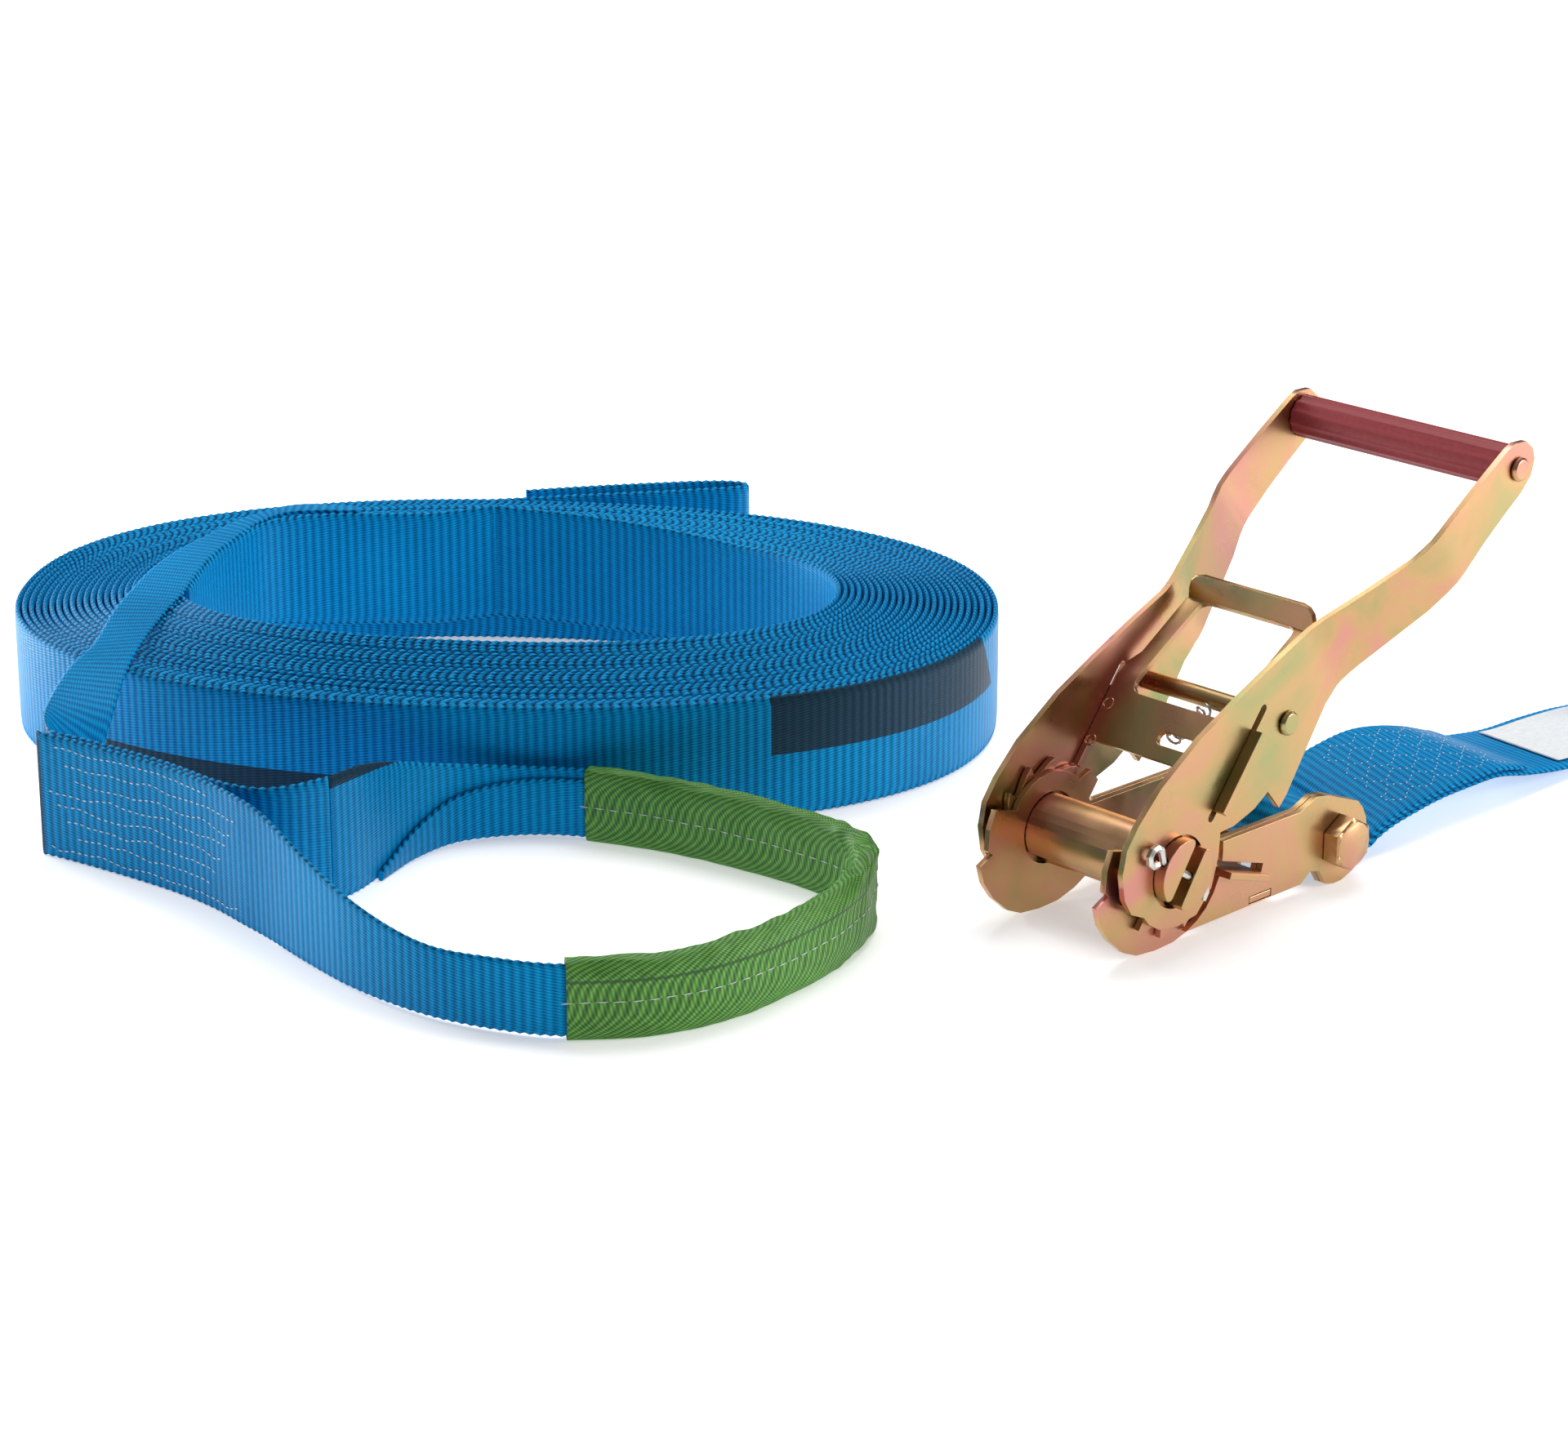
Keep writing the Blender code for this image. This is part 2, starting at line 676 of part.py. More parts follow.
def arm_outline():
    heel = scaled(arm_heel_shares, arm_length)
    return [
        *scaled(arm_upper_shares, arm_length), *heel,
        *scaled(arm_lower_shares, arm_length), *scaled(arm_tip_shares, arm_length),
    ]


def flare(along):
    """How far the arm stands out from its lane at a distance from the drum, with its two bends rounded."""
    share = (along - flare_start) / (flare_end - flare_start)
    rounding = flare_round / (flare_end - flare_start)
    if share <= -rounding:
        return 0
    if share >= 1 + rounding:
        return flare_out
    if share < rounding:
        return flare_out * (share + rounding) ** 2 / (4 * rounding)
    if share > 1 - rounding:
        return flare_out * (1 - (1 + rounding - share) ** 2 / (4 * rounding))
    return flare_out * share


def pawl_middle(along):
    """A place on the handle pawl's sliding line, in the handle's frame."""
    return (
        pawl_tip_along + along * math.cos(handle_pawl_turn),
        pawl_tip_up + along * math.sin(handle_pawl_turn),
    )


def make_arms(parent, finish):
    half = handle_pawl_thick / 2 + seat_gap
    pawl_slot = slot(
        pawl_middle(-pawl_bite), pawl_middle(tab_long + pawl_pull), half,
    )
    holes = [
        circle((0, 0), bore_radius, 28),
        circle((arm_length, -grip_drop), rivet_radius + seat_gap, 14),
        circle((rod_along, -rod_drop), rod_rivet + seat_gap, 12),
        pawl_slot,
    ]
    for name, side in (("arm_near", -1), ("arm_far", 1)):
        low, high = sorted((side * arm_in, side * arm_out))
        shape = sheet(arm_outline(), holes, low, high)
        bends = [flare_start, flare_end]
        cross_cut(shape, [b + k * flare_round for b in bends for k in (-1, 0, 1)])
        for vert in shape.verts:
            vert.co.y += side * flare(vert.co.x)
        add(name, shape, finish, parent)


def make_grip(parent, red, finish):
    reach = arm_in + flare_out - seat_gap
    middle = (arm_length, -grip_drop)
    sides = flute_count * 4

    def fluted(angle):
        return grip_radius - flute_depth / 2 * (1 - math.cos(flute_count * angle))

    rows = [(-reach, fluted), (reach, fluted)]
    add("handle_grip", turned_tube(rows, rivet_radius + seat_gap, sides, middle), red, parent)
    add("grip_rivet", rivet(arm_out + flare_out, rivet_radius, middle), finish, parent)
    rod = (rod_along, -rod_drop)
    inside = arm_in - seat_gap
    tube_rows = [(-inside, rod_radius), (inside, rod_radius)]
    add("spacer_tube", turned_tube(tube_rows, rod_rivet + seat_gap, 16, rod), finish, parent)
    add("spacer_rivet", rivet(arm_out, rod_rivet, rod), finish, parent)


def rivet(face, shank, middle):
    """A rivet whose two heads sit on faces at plus and minus the same distance."""
    head = face + seat_gap
    top = head + rivet_head_tall
    half = [(0, shank), (head, shank), (head, rivet_head), (head + rivet_head_tall / 2, rivet_head),
            (top, rivet_head - chamfer)]
    rows = [(-y, r) for y, r in half[:0:-1]] + half[1:]
    return turned(rows, 16, middle)


def make_handle_pawl(parent, finish):
    """A plate with a window for the fingers, bent three times, with teeth and tabs at its lower corners."""
    path = [(pawl_tip_along, pawl_tip_up)]
    for run, way in ((pawl_run, handle_pawl_turn), (pawl_leg_run, pawl_leg_turn), (bar_run, bar_turn)):
        x, z = path[-1]
        path.append((x + run * math.cos(way), z + run * math.sin(way)))
    tooth = side_out + 2 * seat_gap
    inside = arm_in - seat_gap
    tab = arm_out + tab_out
    far = pawl_run + pawl_leg_run + bar_run
    half = [
        (pawl_relief, tooth), (0, tooth), (0, tab), (tab_long, tab), (tab_long, inside), (pawl_waist, inside),
        (pawl_waist + bar_corner, bar_half),
        *arc((far - bar_corner, bar_half - bar_corner), bar_corner, math.pi / 2, 0, 3),
    ]
    outline = [*half, *[(x, -y) for x, y in half[::-1]]]
    window = block((window_from, -window_half), (window_to, window_half), window_corner)
    hole = block(
        (pawl_slot_from, -pawl_slot_half - pawl_slot_side), (pawl_slot_to, pawl_slot_half - pawl_slot_side),
        (pawl_slot_to - pawl_slot_from) * pawl_slot_corner_share,
    )
    shape = sheet(outline, [window, hole], -handle_pawl_thick / 2, handle_pawl_thick / 2)
    soft = handle_pawl_thick
    cross_cut(shape, [place + k * soft for place in (pawl_run, pawl_run + pawl_leg_run) for k in (-1, 0, 1)])
    bend_along(shape, path, 0)
    add("handle_pawl", shape, finish, parent)


def spring_seat():
    """The seat end of the frame pawl's spring: on the pawl's line, and clear of the floor."""
    along = base_bend * math.cos(frame_pawl_turn) + base_height() * math.sin(frame_pawl_turn)
    x, z = frame_pawl_point(along - base_thick / 2 - spring_room - spring_wire)
    reach = (spring_radius + spring_wire) * math.cos(frame_pawl_turn)
    return x, max(z, base_height() + base_thick / 2 + spring_floor_gap + reach)


def make_springs(frame, handle, steel):
    start = frame_pawl_rear + spring_room + spring_wire
    add_spring("frame_pawl_spring", frame_pawl_point(start), spring_seat(), frame, steel)
    x, z = pawl_middle(pawl_slot_to)
    first = (x, z - spring_below)
    gap = rod_radius + spring_room + spring_wire
    last = (rod_along - gap, -rod_drop)
    add_spring("handle_pawl_spring", first, last, handle, steel)


def add_spring(name, start, end, parent, steel):
    points = helix(start, end, spring_radius, spring_turn_count, spring_point_count)
    tube(name, points, spring_wire, 1, parent, steel)


def make_anchor(parent, finish, steel):
    middle = (bolt_span, -bolt_drop)
    face = wheel_out + seat_gap
    tip = face + nut_tall + bolt_thread_out
    hexed = hexagon(hex_half)
    rows = [
        (-face - bolt_head_tall, hex_half - chamfer / 2), (-face - bolt_head_tall + chamfer, hexed),
        (-face, hexed), (-face, bolt_radius), (tip - chamfer, bolt_radius), (tip, bolt_radius - chamfer),
    ]
    add("anchor_bolt", turned(rows, 24, middle), finish, parent)
    nut_rows = [(face, hexed), (face + nut_tall - chamfer, hexed), (face + nut_tall, hex_half - chamfer / 2)]
    add("anchor_nut", turned_tube(nut_rows, bolt_radius + seat_gap, 24, middle), finish, parent)
    inside = side_in - seat_gap
    outer = bolt_radius + seat_gap + sleeve_wall
    sleeve = turned_tube([(-inside, outer), (inside, outer)], bolt_radius + seat_gap, 20, middle)
    add("anchor_sleeve", sleeve, steel, parent)


def strap_lines():
    """The lower layer's middle line from the anchor to the roll, with its tilt."""
    return [(bolt_span + x * mm, z * mm - axis_height, tilt * deg) for x, z, tilt in strap_route]


def wrap_points():
    """Round the sleeve from its upper side to its lower side."""
    radius = bolt_radius + seat_gap + sleeve_wall + seat_gap + web_thick / 2
    return [(x, z, 0) for x, z in arc((bolt_span, -bolt_drop), radius, wrap_first_turn, wrap_last_turn, 12)]


def between(a, b, share):
    return tuple(p + (q - p) * share for p, q in zip(a, b))


def make_strap(parent, blue, white):
    route = smooth(strap_lines(), route_steps)
    sewn = strap_sewn_count * route_steps
    step = web_thick + strap_layer_gap
    upper = [raised(route, i, step) for i in range(sewn, -1, -1)]
    wrap = wrap_points()
    above, below = between(upper[-1], wrap[0], 0.5), between(wrap[-1], route[0], 0.5)
    loop = [*upper, above, *wrap, below, *route[: sewn + 1]]
    add("strap_loop", strap_shape(loop, web_width, web_thick), blue, parent)
    run = route[sewn:]
    gap = seat_gap / math.dist(run[0][:2], run[1][:2])
    run[0] = tuple(a + (b - a) * gap for a, b in zip(run[0], run[1]))
    add("strap_run", strap_shape(run, web_width, web_thick), blue, parent)
    first = int(len(run) * tag_from_share)
    tag = [run[first]]
    while sum(math.dist(a[:2], b[:2]) for a, b in zip(tag, tag[1:])) < tag_long:
        tag.append(run[first + len(tag)])
    lift = web_thick / 2 + tag_gap + tag_thick / 2
    raised_tag = [raised(tag, i, lift) for i in range(len(tag))]
    add("strap_tag", strap_shape(raised_tag, tag_wide, tag_thick), white, parent)
    make_roll(route[-1], parent, blue)


def raised(route, i, height):
    """The point i of a route, moved square to the route."""
    a, b = route[max(i - 1, 0)], route[min(i + 1, len(route) - 1)]
    way = math.atan2(b[1] - a[1], b[0] - a[0])
    return (route[i][0] - height * math.sin(way), route[i][1] + height * math.cos(way), route[i][2])


def strap_shape(route, width, thick):
    middles = [Vector((x, 0, z)) for x, z, _ in route]
    ups = [Vector((0, math.cos(tilt), math.sin(tilt))) for _, _, tilt in route]
    return loft(band_rings(middles, ups, [width] * len(route), [thick] * len(route)))


def make_roll(end, parent, blue):
    """The rest of the strap, rolled up on its own end and standing on its rim."""
    pitch = web_thick + roll_gap
    outer = roll_core + roll_turn_count * pitch
    middle = (end[0] + 2 * seat_gap, end[1] + outer)
    steps = roll_turn_count * loop_point_count
    points = []
    for k in range(steps + 1):
        radius = outer - pitch * k / loop_point_count
        angle = -math.pi / 2 + 2 * math.pi * k / loop_point_count
        points.append((middle[0] + radius * math.cos(angle), middle[1] + radius * math.sin(angle), 0))
    report_gap("strap_roll", [Vector((x, 0, z)) for x, z, _ in points], web_thick, loop_point_count)
    add("strap_roll", strap_shape(points, web_width, web_thick), blue, parent)


def oval_point(angle, long, wide):
    c, s = math.cos(angle), math.sin(angle)
    x = long * math.copysign(abs(c) ** (2 / coil_power), c)
    y = wide * math.copysign(abs(s) ** (2 / coil_power), s)
    return plane_turn((x, y), coil_turn)


def report_gap(name, points, thick, per_turn):
    """Prints the least gap of a coil to itself, from its points to the next turn's straight runs."""
    least = math.inf
    for i in range(len(points) - per_turn - 1):
        for k in (-1, 0):
            a, b = points[max(i + per_turn + k, 0)], points[i + per_turn + k + 1]
            along = b - a
            share = min(max((points[i] - a).dot(along) / along.length_squared, 0), 1)
            apart = points[i] - a - along * share
            apart.z = apart.z if name != "line_coil" else 0
            least = min(least, apart.length - thick)
    print(f"{name}: least gap to itself {least / mm:.2f} mm")


def make_coil(parent, blue):
    """The line wound on edge, its inner turns standing a little higher."""
    steps = coil_turn_count * loop_point_count
    middles = []
    for k in range(steps + 1):
        share = k / steps
        long = coil_inner_long + (coil_outer_long - coil_inner_long) * share
        wide = coil_inner_wide + (coil_outer_wide - coil_inner_wide) * share
        x, y = oval_point(coil_first_turn - 2 * math.pi * coil_turn_count * share, long, wide)
        middles.append(Vector((x, y, web_width / 2 + coil_rise * max(1 - share / coil_rise_share, 0))))
    report_gap("line_coil", middles, coil_band, loop_point_count)
    ups = [Vector((0, 0, 1))] * len(middles)
    count = len(middles)
    add("line_coil", loft(band_rings(middles, ups, [web_width] * count, [coil_band] * count)), blue, parent)
    return middles


def make_line(parent, blue, green):
    coil = make_coil(parent, blue)
    count = len(coil)
    up = Vector((0, 0, 1))
    fold = [
        Vector((x * coil_outer_long, y * coil_outer_wide, web_width / 2))
        for x, y in smooth(fold_shares, route_steps)
    ]
    start = coil[-1] + (coil[-1] - coil[-2]).normalized() * join_gap
    fold = [start, *[p for p in fold if p.x > start.x + join_room]]
    fold_count = len(fold)
    fold_shape = loft(band_rings(fold, [up] * fold_count, [web_width] * fold_count, [web_thick] * fold_count))
    add("line_end_fold", fold_shape, blue, parent)
    rows = smooth([(*edge, *down) for edge, down in lead_route], route_steps)
    downs = [Vector(row[3:]).normalized() for row in rows]
    middles = [Vector(row[:3]) * mm + down * (web_width / 2) for row, down in zip(rows, downs)]
    first = coil[0] + (coil[0] - coil[1]).normalized() * join_gap
    middles = [first, *[p for p in middles if p.x < first.x - join_room]]
    downs = downs[len(downs) - len(middles) + 1:]
    downs = [Vector((0, 0, -1)), *downs]
    lead_count = len(middles)
    lead = loft(band_rings(middles, downs, [web_width] * lead_count, [web_thick] * lead_count))
    add("line_lead", lead, blue, parent)
    make_eye(parent, blue, green)


def make_eye(parent, blue, green):
    rows = smooth(eye_route, route_steps)
    heights = [row[2] * mm for row in rows]
    thicks = [web_thick + (eye_thick - web_thick) * min(max(row[3], 0), 1) for row in rows]
    lift = sleeve_skin + sleeve_bore_gap
    middles = [
        Vector((row[0] * mm, row[1] * mm, height / 2 + lift * min(max(row[3], 0), 1)))
        for row, height in zip(rows, heights)
    ]
    ups = [Vector((0, 0, 1))] * len(rows)
    add("line_eye", loft(band_rings(middles, ups, heights, thicks)), blue, parent)
    span = slice(sleeve_skip_count * route_steps, sleeve_last_count * route_steps + 1)
    middles, heights, thicks = middles[span], heights[span], thicks[span]
    ups = ups[span]
    grow = 2 * sleeve_bore_gap
    inner = band_rings(middles, ups, [h + grow for h in heights], [t + grow for t in thicks])
    wall = grow + 2 * sleeve_skin
    outer = sleeve_rings(middles, [h + wall for h in heights], [t + wall for t in thicks])
    inner = [[q for a, b in zip(ring, ring[1:] + ring[:1]) for q in (a, a.lerp(b, 0.5))] for ring in inner]
    add("eye_sleeve", hollow_loft(outer, inner), green, parent)


def sleeve_rings(middles, heights, thicks):
    """Eight points at each middle: four corners and a swelling between them on the two broad sides."""
    rings = []
    corners = band_rings(middles, [Vector((0, 0, 1))] * len(middles), heights, thicks)
    for ring, middle in zip(corners, middles):
        points = []
        for k, (a, b) in enumerate(zip(ring, ring[1:] + ring[:1])):
            between = a.lerp(b, 0.5)
            if k % 2 == 1:
                between += (between - middle).normalized() * sleeve_swell
            points += [a, between]
        rings.append(points)
    return rings


def origin_shift():
    """The middle of the whole kit's box on its floor."""
    bpy.context.view_layer.update()
    corners = []
    for thing in bpy.context.scene.objects:
        if thing.type == "MESH" and not thing.hide_render:
            corners += [thing.matrix_world @ vert.co for vert in thing.data.vertices]
    low, high = ([pick(c[k] for c in corners) for k in range(3)] for pick in (min, max))
    return Vector(((low[0] + high[0]) / 2, (low[1] + high[1]) / 2, low[2]))


def print_places(things):
    bpy.context.view_layer.update()
    for thing in things:
        place = thing.matrix_world.translation
        print(f"{thing.name}: {place.x:.6f} {place.y:.6f} {place.z:.6f}")


def main():
    for thing in list(bpy.data.objects):
        bpy.data.objects.remove(thing)
    steel = material("zinc_yellow_steel", (0.62, 0.47, 0.28), 1, 0.38)
    plain = material("zinc_steel", (0.6, 0.6, 0.58), 1, 0.35)
    dark = material("guide", (0.2, 0.2, 0.2), 0, 0.5)
    red = material("red_grip_plastic", (0.33, 0.07, 0.07), 0, 0.55)
    blue = material("blue_webbing", (0.01, 0.17, 0.48), 0, 0.7)
    green = material("green_twill", (0.08, 0.32, 0.03), 0, 0.8)
    white = material("white_label", (0.8, 0.8, 0.78), 0, 0.7)
    kit = empty("kit")
    ratchet = empty("ratchet_place", kit, (0, 0, axis_height))
    drum = empty("drum_place", ratchet)
    handle = empty("handle_place", ratchet, turn=-arm_turn, about="Y")
    bolt = empty("bolt_place", ratchet, (bolt_span, 0, -bolt_drop))
    line = empty("line_place", kit, (*coil_place, 0), line_turn)
    make_drum(drum, steel, dark)
    make_sides(ratchet, steel)
    make_base(ratchet, steel)
    make_frame_pawl(ratchet, steel)
    make_arms(handle, steel)
    make_grip(handle, red, steel)
    make_handle_pawl(handle, steel)
    make_springs(ratchet, handle, plain)
    make_anchor(ratchet, steel, plain)
    make_strap(ratchet, blue, white)
    make_line(line, blue, green)
    kit.location = -origin_shift()
    print_places([kit, ratchet, bolt, line])


main()
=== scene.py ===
# Slackline kit: a coiled flat line with a sleeved eye, and its long-handled ratchet.
import json
import math

import bmesh
import bpy
import numpy as np
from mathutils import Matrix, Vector, noise

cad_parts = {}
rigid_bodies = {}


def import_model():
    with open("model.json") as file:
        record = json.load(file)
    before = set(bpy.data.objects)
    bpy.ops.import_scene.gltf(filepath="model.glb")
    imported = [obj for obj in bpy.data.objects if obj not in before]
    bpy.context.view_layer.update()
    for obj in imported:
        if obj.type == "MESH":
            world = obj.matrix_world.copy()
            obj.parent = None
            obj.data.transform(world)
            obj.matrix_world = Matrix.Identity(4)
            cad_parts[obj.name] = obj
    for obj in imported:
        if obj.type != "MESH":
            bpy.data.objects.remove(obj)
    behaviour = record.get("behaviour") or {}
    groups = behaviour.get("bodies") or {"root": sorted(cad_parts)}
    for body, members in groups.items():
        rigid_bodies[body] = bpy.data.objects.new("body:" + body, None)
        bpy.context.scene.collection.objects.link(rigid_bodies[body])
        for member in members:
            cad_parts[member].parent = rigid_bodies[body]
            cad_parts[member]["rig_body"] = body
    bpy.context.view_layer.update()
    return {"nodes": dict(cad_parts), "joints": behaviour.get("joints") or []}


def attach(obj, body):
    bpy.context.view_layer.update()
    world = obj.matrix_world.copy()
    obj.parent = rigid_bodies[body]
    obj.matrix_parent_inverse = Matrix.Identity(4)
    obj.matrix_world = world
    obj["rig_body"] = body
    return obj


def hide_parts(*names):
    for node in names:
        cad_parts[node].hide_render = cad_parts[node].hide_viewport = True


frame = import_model()
nodes = frame["nodes"]
scene = bpy.context.scene
mm = 0.001
deg = math.pi / 180
up = Vector((0, 0, 1))

# The ratchet's frame starts under the drum's axis, and the line's in the middle of its coil
drumPlace = Vector(next(j for j in frame["joints"] if j["name"] == "drum_spin")["pos_m"])
lineSizes = {"placeX": -1.4, "placeY": 330.9, "turn": -44.03}


def linear(colour):
    values = [int(colour[i:i + 2], 16) / 255 for i in (1, 3, 5)]
    return (*[v / 12.92 if v < 0.04045 else ((v + 0.055) / 1.055) ** 2.4 for v in values], 1)


# Adds a node; a link's value is a socket, a node (its first output) or a constant
def addNode(tree, kind, links=None, **settings):
    node = tree.nodes.new(kind)
    for key, value in settings.items():
        setattr(node, key, value)
    for key, value in (links or {}).items():
        target = node.inputs[key]
        if isinstance(value, bpy.types.Node):
            value = value.outputs[0]
        if isinstance(value, bpy.types.NodeSocket):
            tree.links.new(value, target)
        else:
            target.default_value = value
    return node


def startMaterial(name, sockets):
    made = bpy.data.materials.new(name)
    made.use_nodes = True
    tree = made.node_tree
    shader = tree.nodes["Principled BSDF"]
    for socket, value in sockets.items():
        shader.inputs[socket].default_value = value
    return made, tree, shader, addNode(tree, "ShaderNodeTexCoord").outputs["Object"]


# Ends a material with its colour, and its relief where it has one
def endMaterial(tree, shader, colour, height, bump):
    tree.links.new(colour, shader.inputs["Base Color"])
    if bump:
        relief = addNode(tree, "ShaderNodeBump", {"Height": height, **bump})
        tree.links.new(relief.outputs[0], shader.inputs["Normal"])


def linePoint(x, y, z=0.0):
    c, s = math.cos(lineSizes["turn"] * deg), math.sin(lineSizes["turn"] * deg)
    return Vector((
        drumPlace.x + (lineSizes["placeX"] + x * c - y * s) * mm,
        drumPlace.y + (lineSizes["placeY"] + x * s + y * c) * mm,
        z * mm,
    ))


def lineWay(x, y, z):
    return (linePoint(x, y, z) - linePoint(0, 0, 0)).normalized()


def ratchetPoint(x, y, z):
    return Vector((drumPlace.x + x * mm, drumPlace.y + y * mm, z * mm))


# Points on one smooth curve through a list of tuples
def smooth(points, steps):
    found = []
    for i in range(len(points) - 1):
        a, b, c, d = (np.array(points[min(max(i + k, 0), len(points) - 1)], float) for k in (-1, 0, 1, 2))
        for k in range(steps):
            t = k / steps
            square = (2 * a - 5 * b + 4 * c - d) * t**2
            cube = (3 * b - a - 3 * c + d) * t**3
            found.append(0.5 * (2 * b + (c - a) * t + square + cube))
    return [*found, np.array(points[-1], float)]


# Camera, floor and light; the camera's places are in millimetres from the floor under the drum
shot = {
    "lens": 101.74, "sensor": 36, "clipEnd": 200, "from": (-1131.8, -1002.6, 614.2), "at": (73.6, 244.5, 0),
}


def makeCamera():
    data = bpy.data.cameras.new("camera")
    data.lens = shot["lens"]
    data.sensor_width = shot["sensor"]
    data.clip_end = shot["clipEnd"]
    camera = bpy.data.objects.new("camera", data)
    scene.collection.objects.link(camera)
    ground = Vector((drumPlace.x, drumPlace.y, 0))
    camera.location = ground + Vector(shot["from"]) * mm
    aim = ground + Vector(shot["at"]) * mm
    camera.rotation_euler = (aim - camera.location).to_track_quat("-Z", "Y").to_euler()
    scene.camera = camera


studio = {
    "floorSize": 80, "floorDrop": 0.2, "paper": {
        "Base Color": linear("#FAFAFA"), "Roughness": 0.9,
        "Emission Color": linear("#FAFAFA"), "Emission Strength": 0.45,
    },
    "skyColour": "#FFFFFF", "skyLow": 0.05, "skyHigh": 0.3, "skyTop": 0.7, "lightsAhead": 0.15,
    # each softbox: right, forward and up from the middle in metres as the camera sees it, size, watts
    "softboxes": {
        "topSoftbox": (0.2, 0.7, 1.8, 1.3, 24), "leftSoftbox": (-1.4, 0.85, 0.36, 0.8, 32),
        "rightSoftbox": (1.9, -0.2, 0.5, 0.8, 20),
    },
}
# The camera's right and ahead, laid on the floor
viewRight = Vector((0.719, -0.695, 0))
viewAhead = Vector((0.695, 0.719, 0))


def makeFloor():
    floor = bpy.data.meshes.new("floor")
    half = studio["floorSize"] / 2
    corners = [(-half, -half, 0), (half, -half, 0), (half, half, 0), (-half, half, 0)]
    floor.from_pydata(corners, [], [(0, 1, 2, 3)])
    ground = bpy.data.objects.new("floor", floor)
    ground.location.z = -studio["floorDrop"] * mm
    scene.collection.objects.link(ground)
    floor.materials.append(startMaterial("matt paper backdrop", studio["paper"])[0])


def makeLights():
    world = bpy.data.worlds.new("studio")
    world.use_nodes = True
    tree = world.node_tree
    where = addNode(tree, "ShaderNodeTexCoord")
    parts = addNode(tree, "ShaderNodeSeparateXYZ", {0: where.outputs["Generated"]})
    strength = addNode(tree, "ShaderNodeMapRange", {
        0: parts.outputs[2], 1: 0.0, 2: studio["skyTop"], 3: studio["skyLow"], 4: studio["skyHigh"],
    })
    back = tree.nodes["Background"]
    back.inputs["Color"].default_value = linear(studio["skyColour"])
    tree.links.new(strength.outputs[0], back.inputs["Strength"])
    scene.world = world
    middle = Vector((drumPlace.x, drumPlace.y + studio["lightsAhead"], 0))
    for name, (right, ahead, high, size, power) in studio["softboxes"].items():
        lamp = bpy.data.lights.new(name, "AREA")
        lamp.shape = "SQUARE"
        lamp.size = size
        lamp.energy = power
        light = bpy.data.objects.new(name, lamp)
        scene.collection.objects.link(light)
        light.location = middle + viewRight * right + viewAhead * ahead + up * high
        light.rotation_euler = (middle - light.location).to_track_quat("-Z", "Y").to_euler()


scene.view_settings.view_transform = "Standard"
makeCamera()
makeFloor()
makeLights()
print("camera and studio made")


# Materials: a noise's scale is its patterns per millimetre, and a share is a pattern's part of the whole
# The webbing's tones run from painted shade, through its own blue, to painted highlight
webLook = {
    "ribPitch": 3.7, "ribShare": 0.26, "ribMiddle": 0.36, "warpPitch": 1.1, "warpShare": 0.2,
    "grain": {"Scale": 0.42 / mm, "Detail": 3.0}, "grainShare": 0.22,
    "wear": {"Scale": 0.014 / mm, "Detail": 2.0}, "wearShare": 0.3, "paintedReliefLightShare": 0.6,
    "toneFrom": 0.05, "tones": ((0.2, "#00578F"), (0.5, "#0083C2"), (0.85, "#12A8E4")),
    # gap is painted shade: the braided edges darken between the ribs
    "gap": "#012A45", "gapFrom": 0.1, "gapTo": -0.9, "gapPaintedShade": 0.75, "print": "#1E2B35", "ink": 0.94,
    "roughness": 0.38, "edgeRoughness": 0.65, "wornFrom": 0.85, "edgeFrom": 0.94, "edgeTo": 0.97,
    "bump": {"Strength": 0.6, "Distance": 0.5 * mm},
    "sockets": {"Specular IOR Level": 0.2, "IOR": 1.58, "Specular Tint": linear("#5FB2E2")},
}
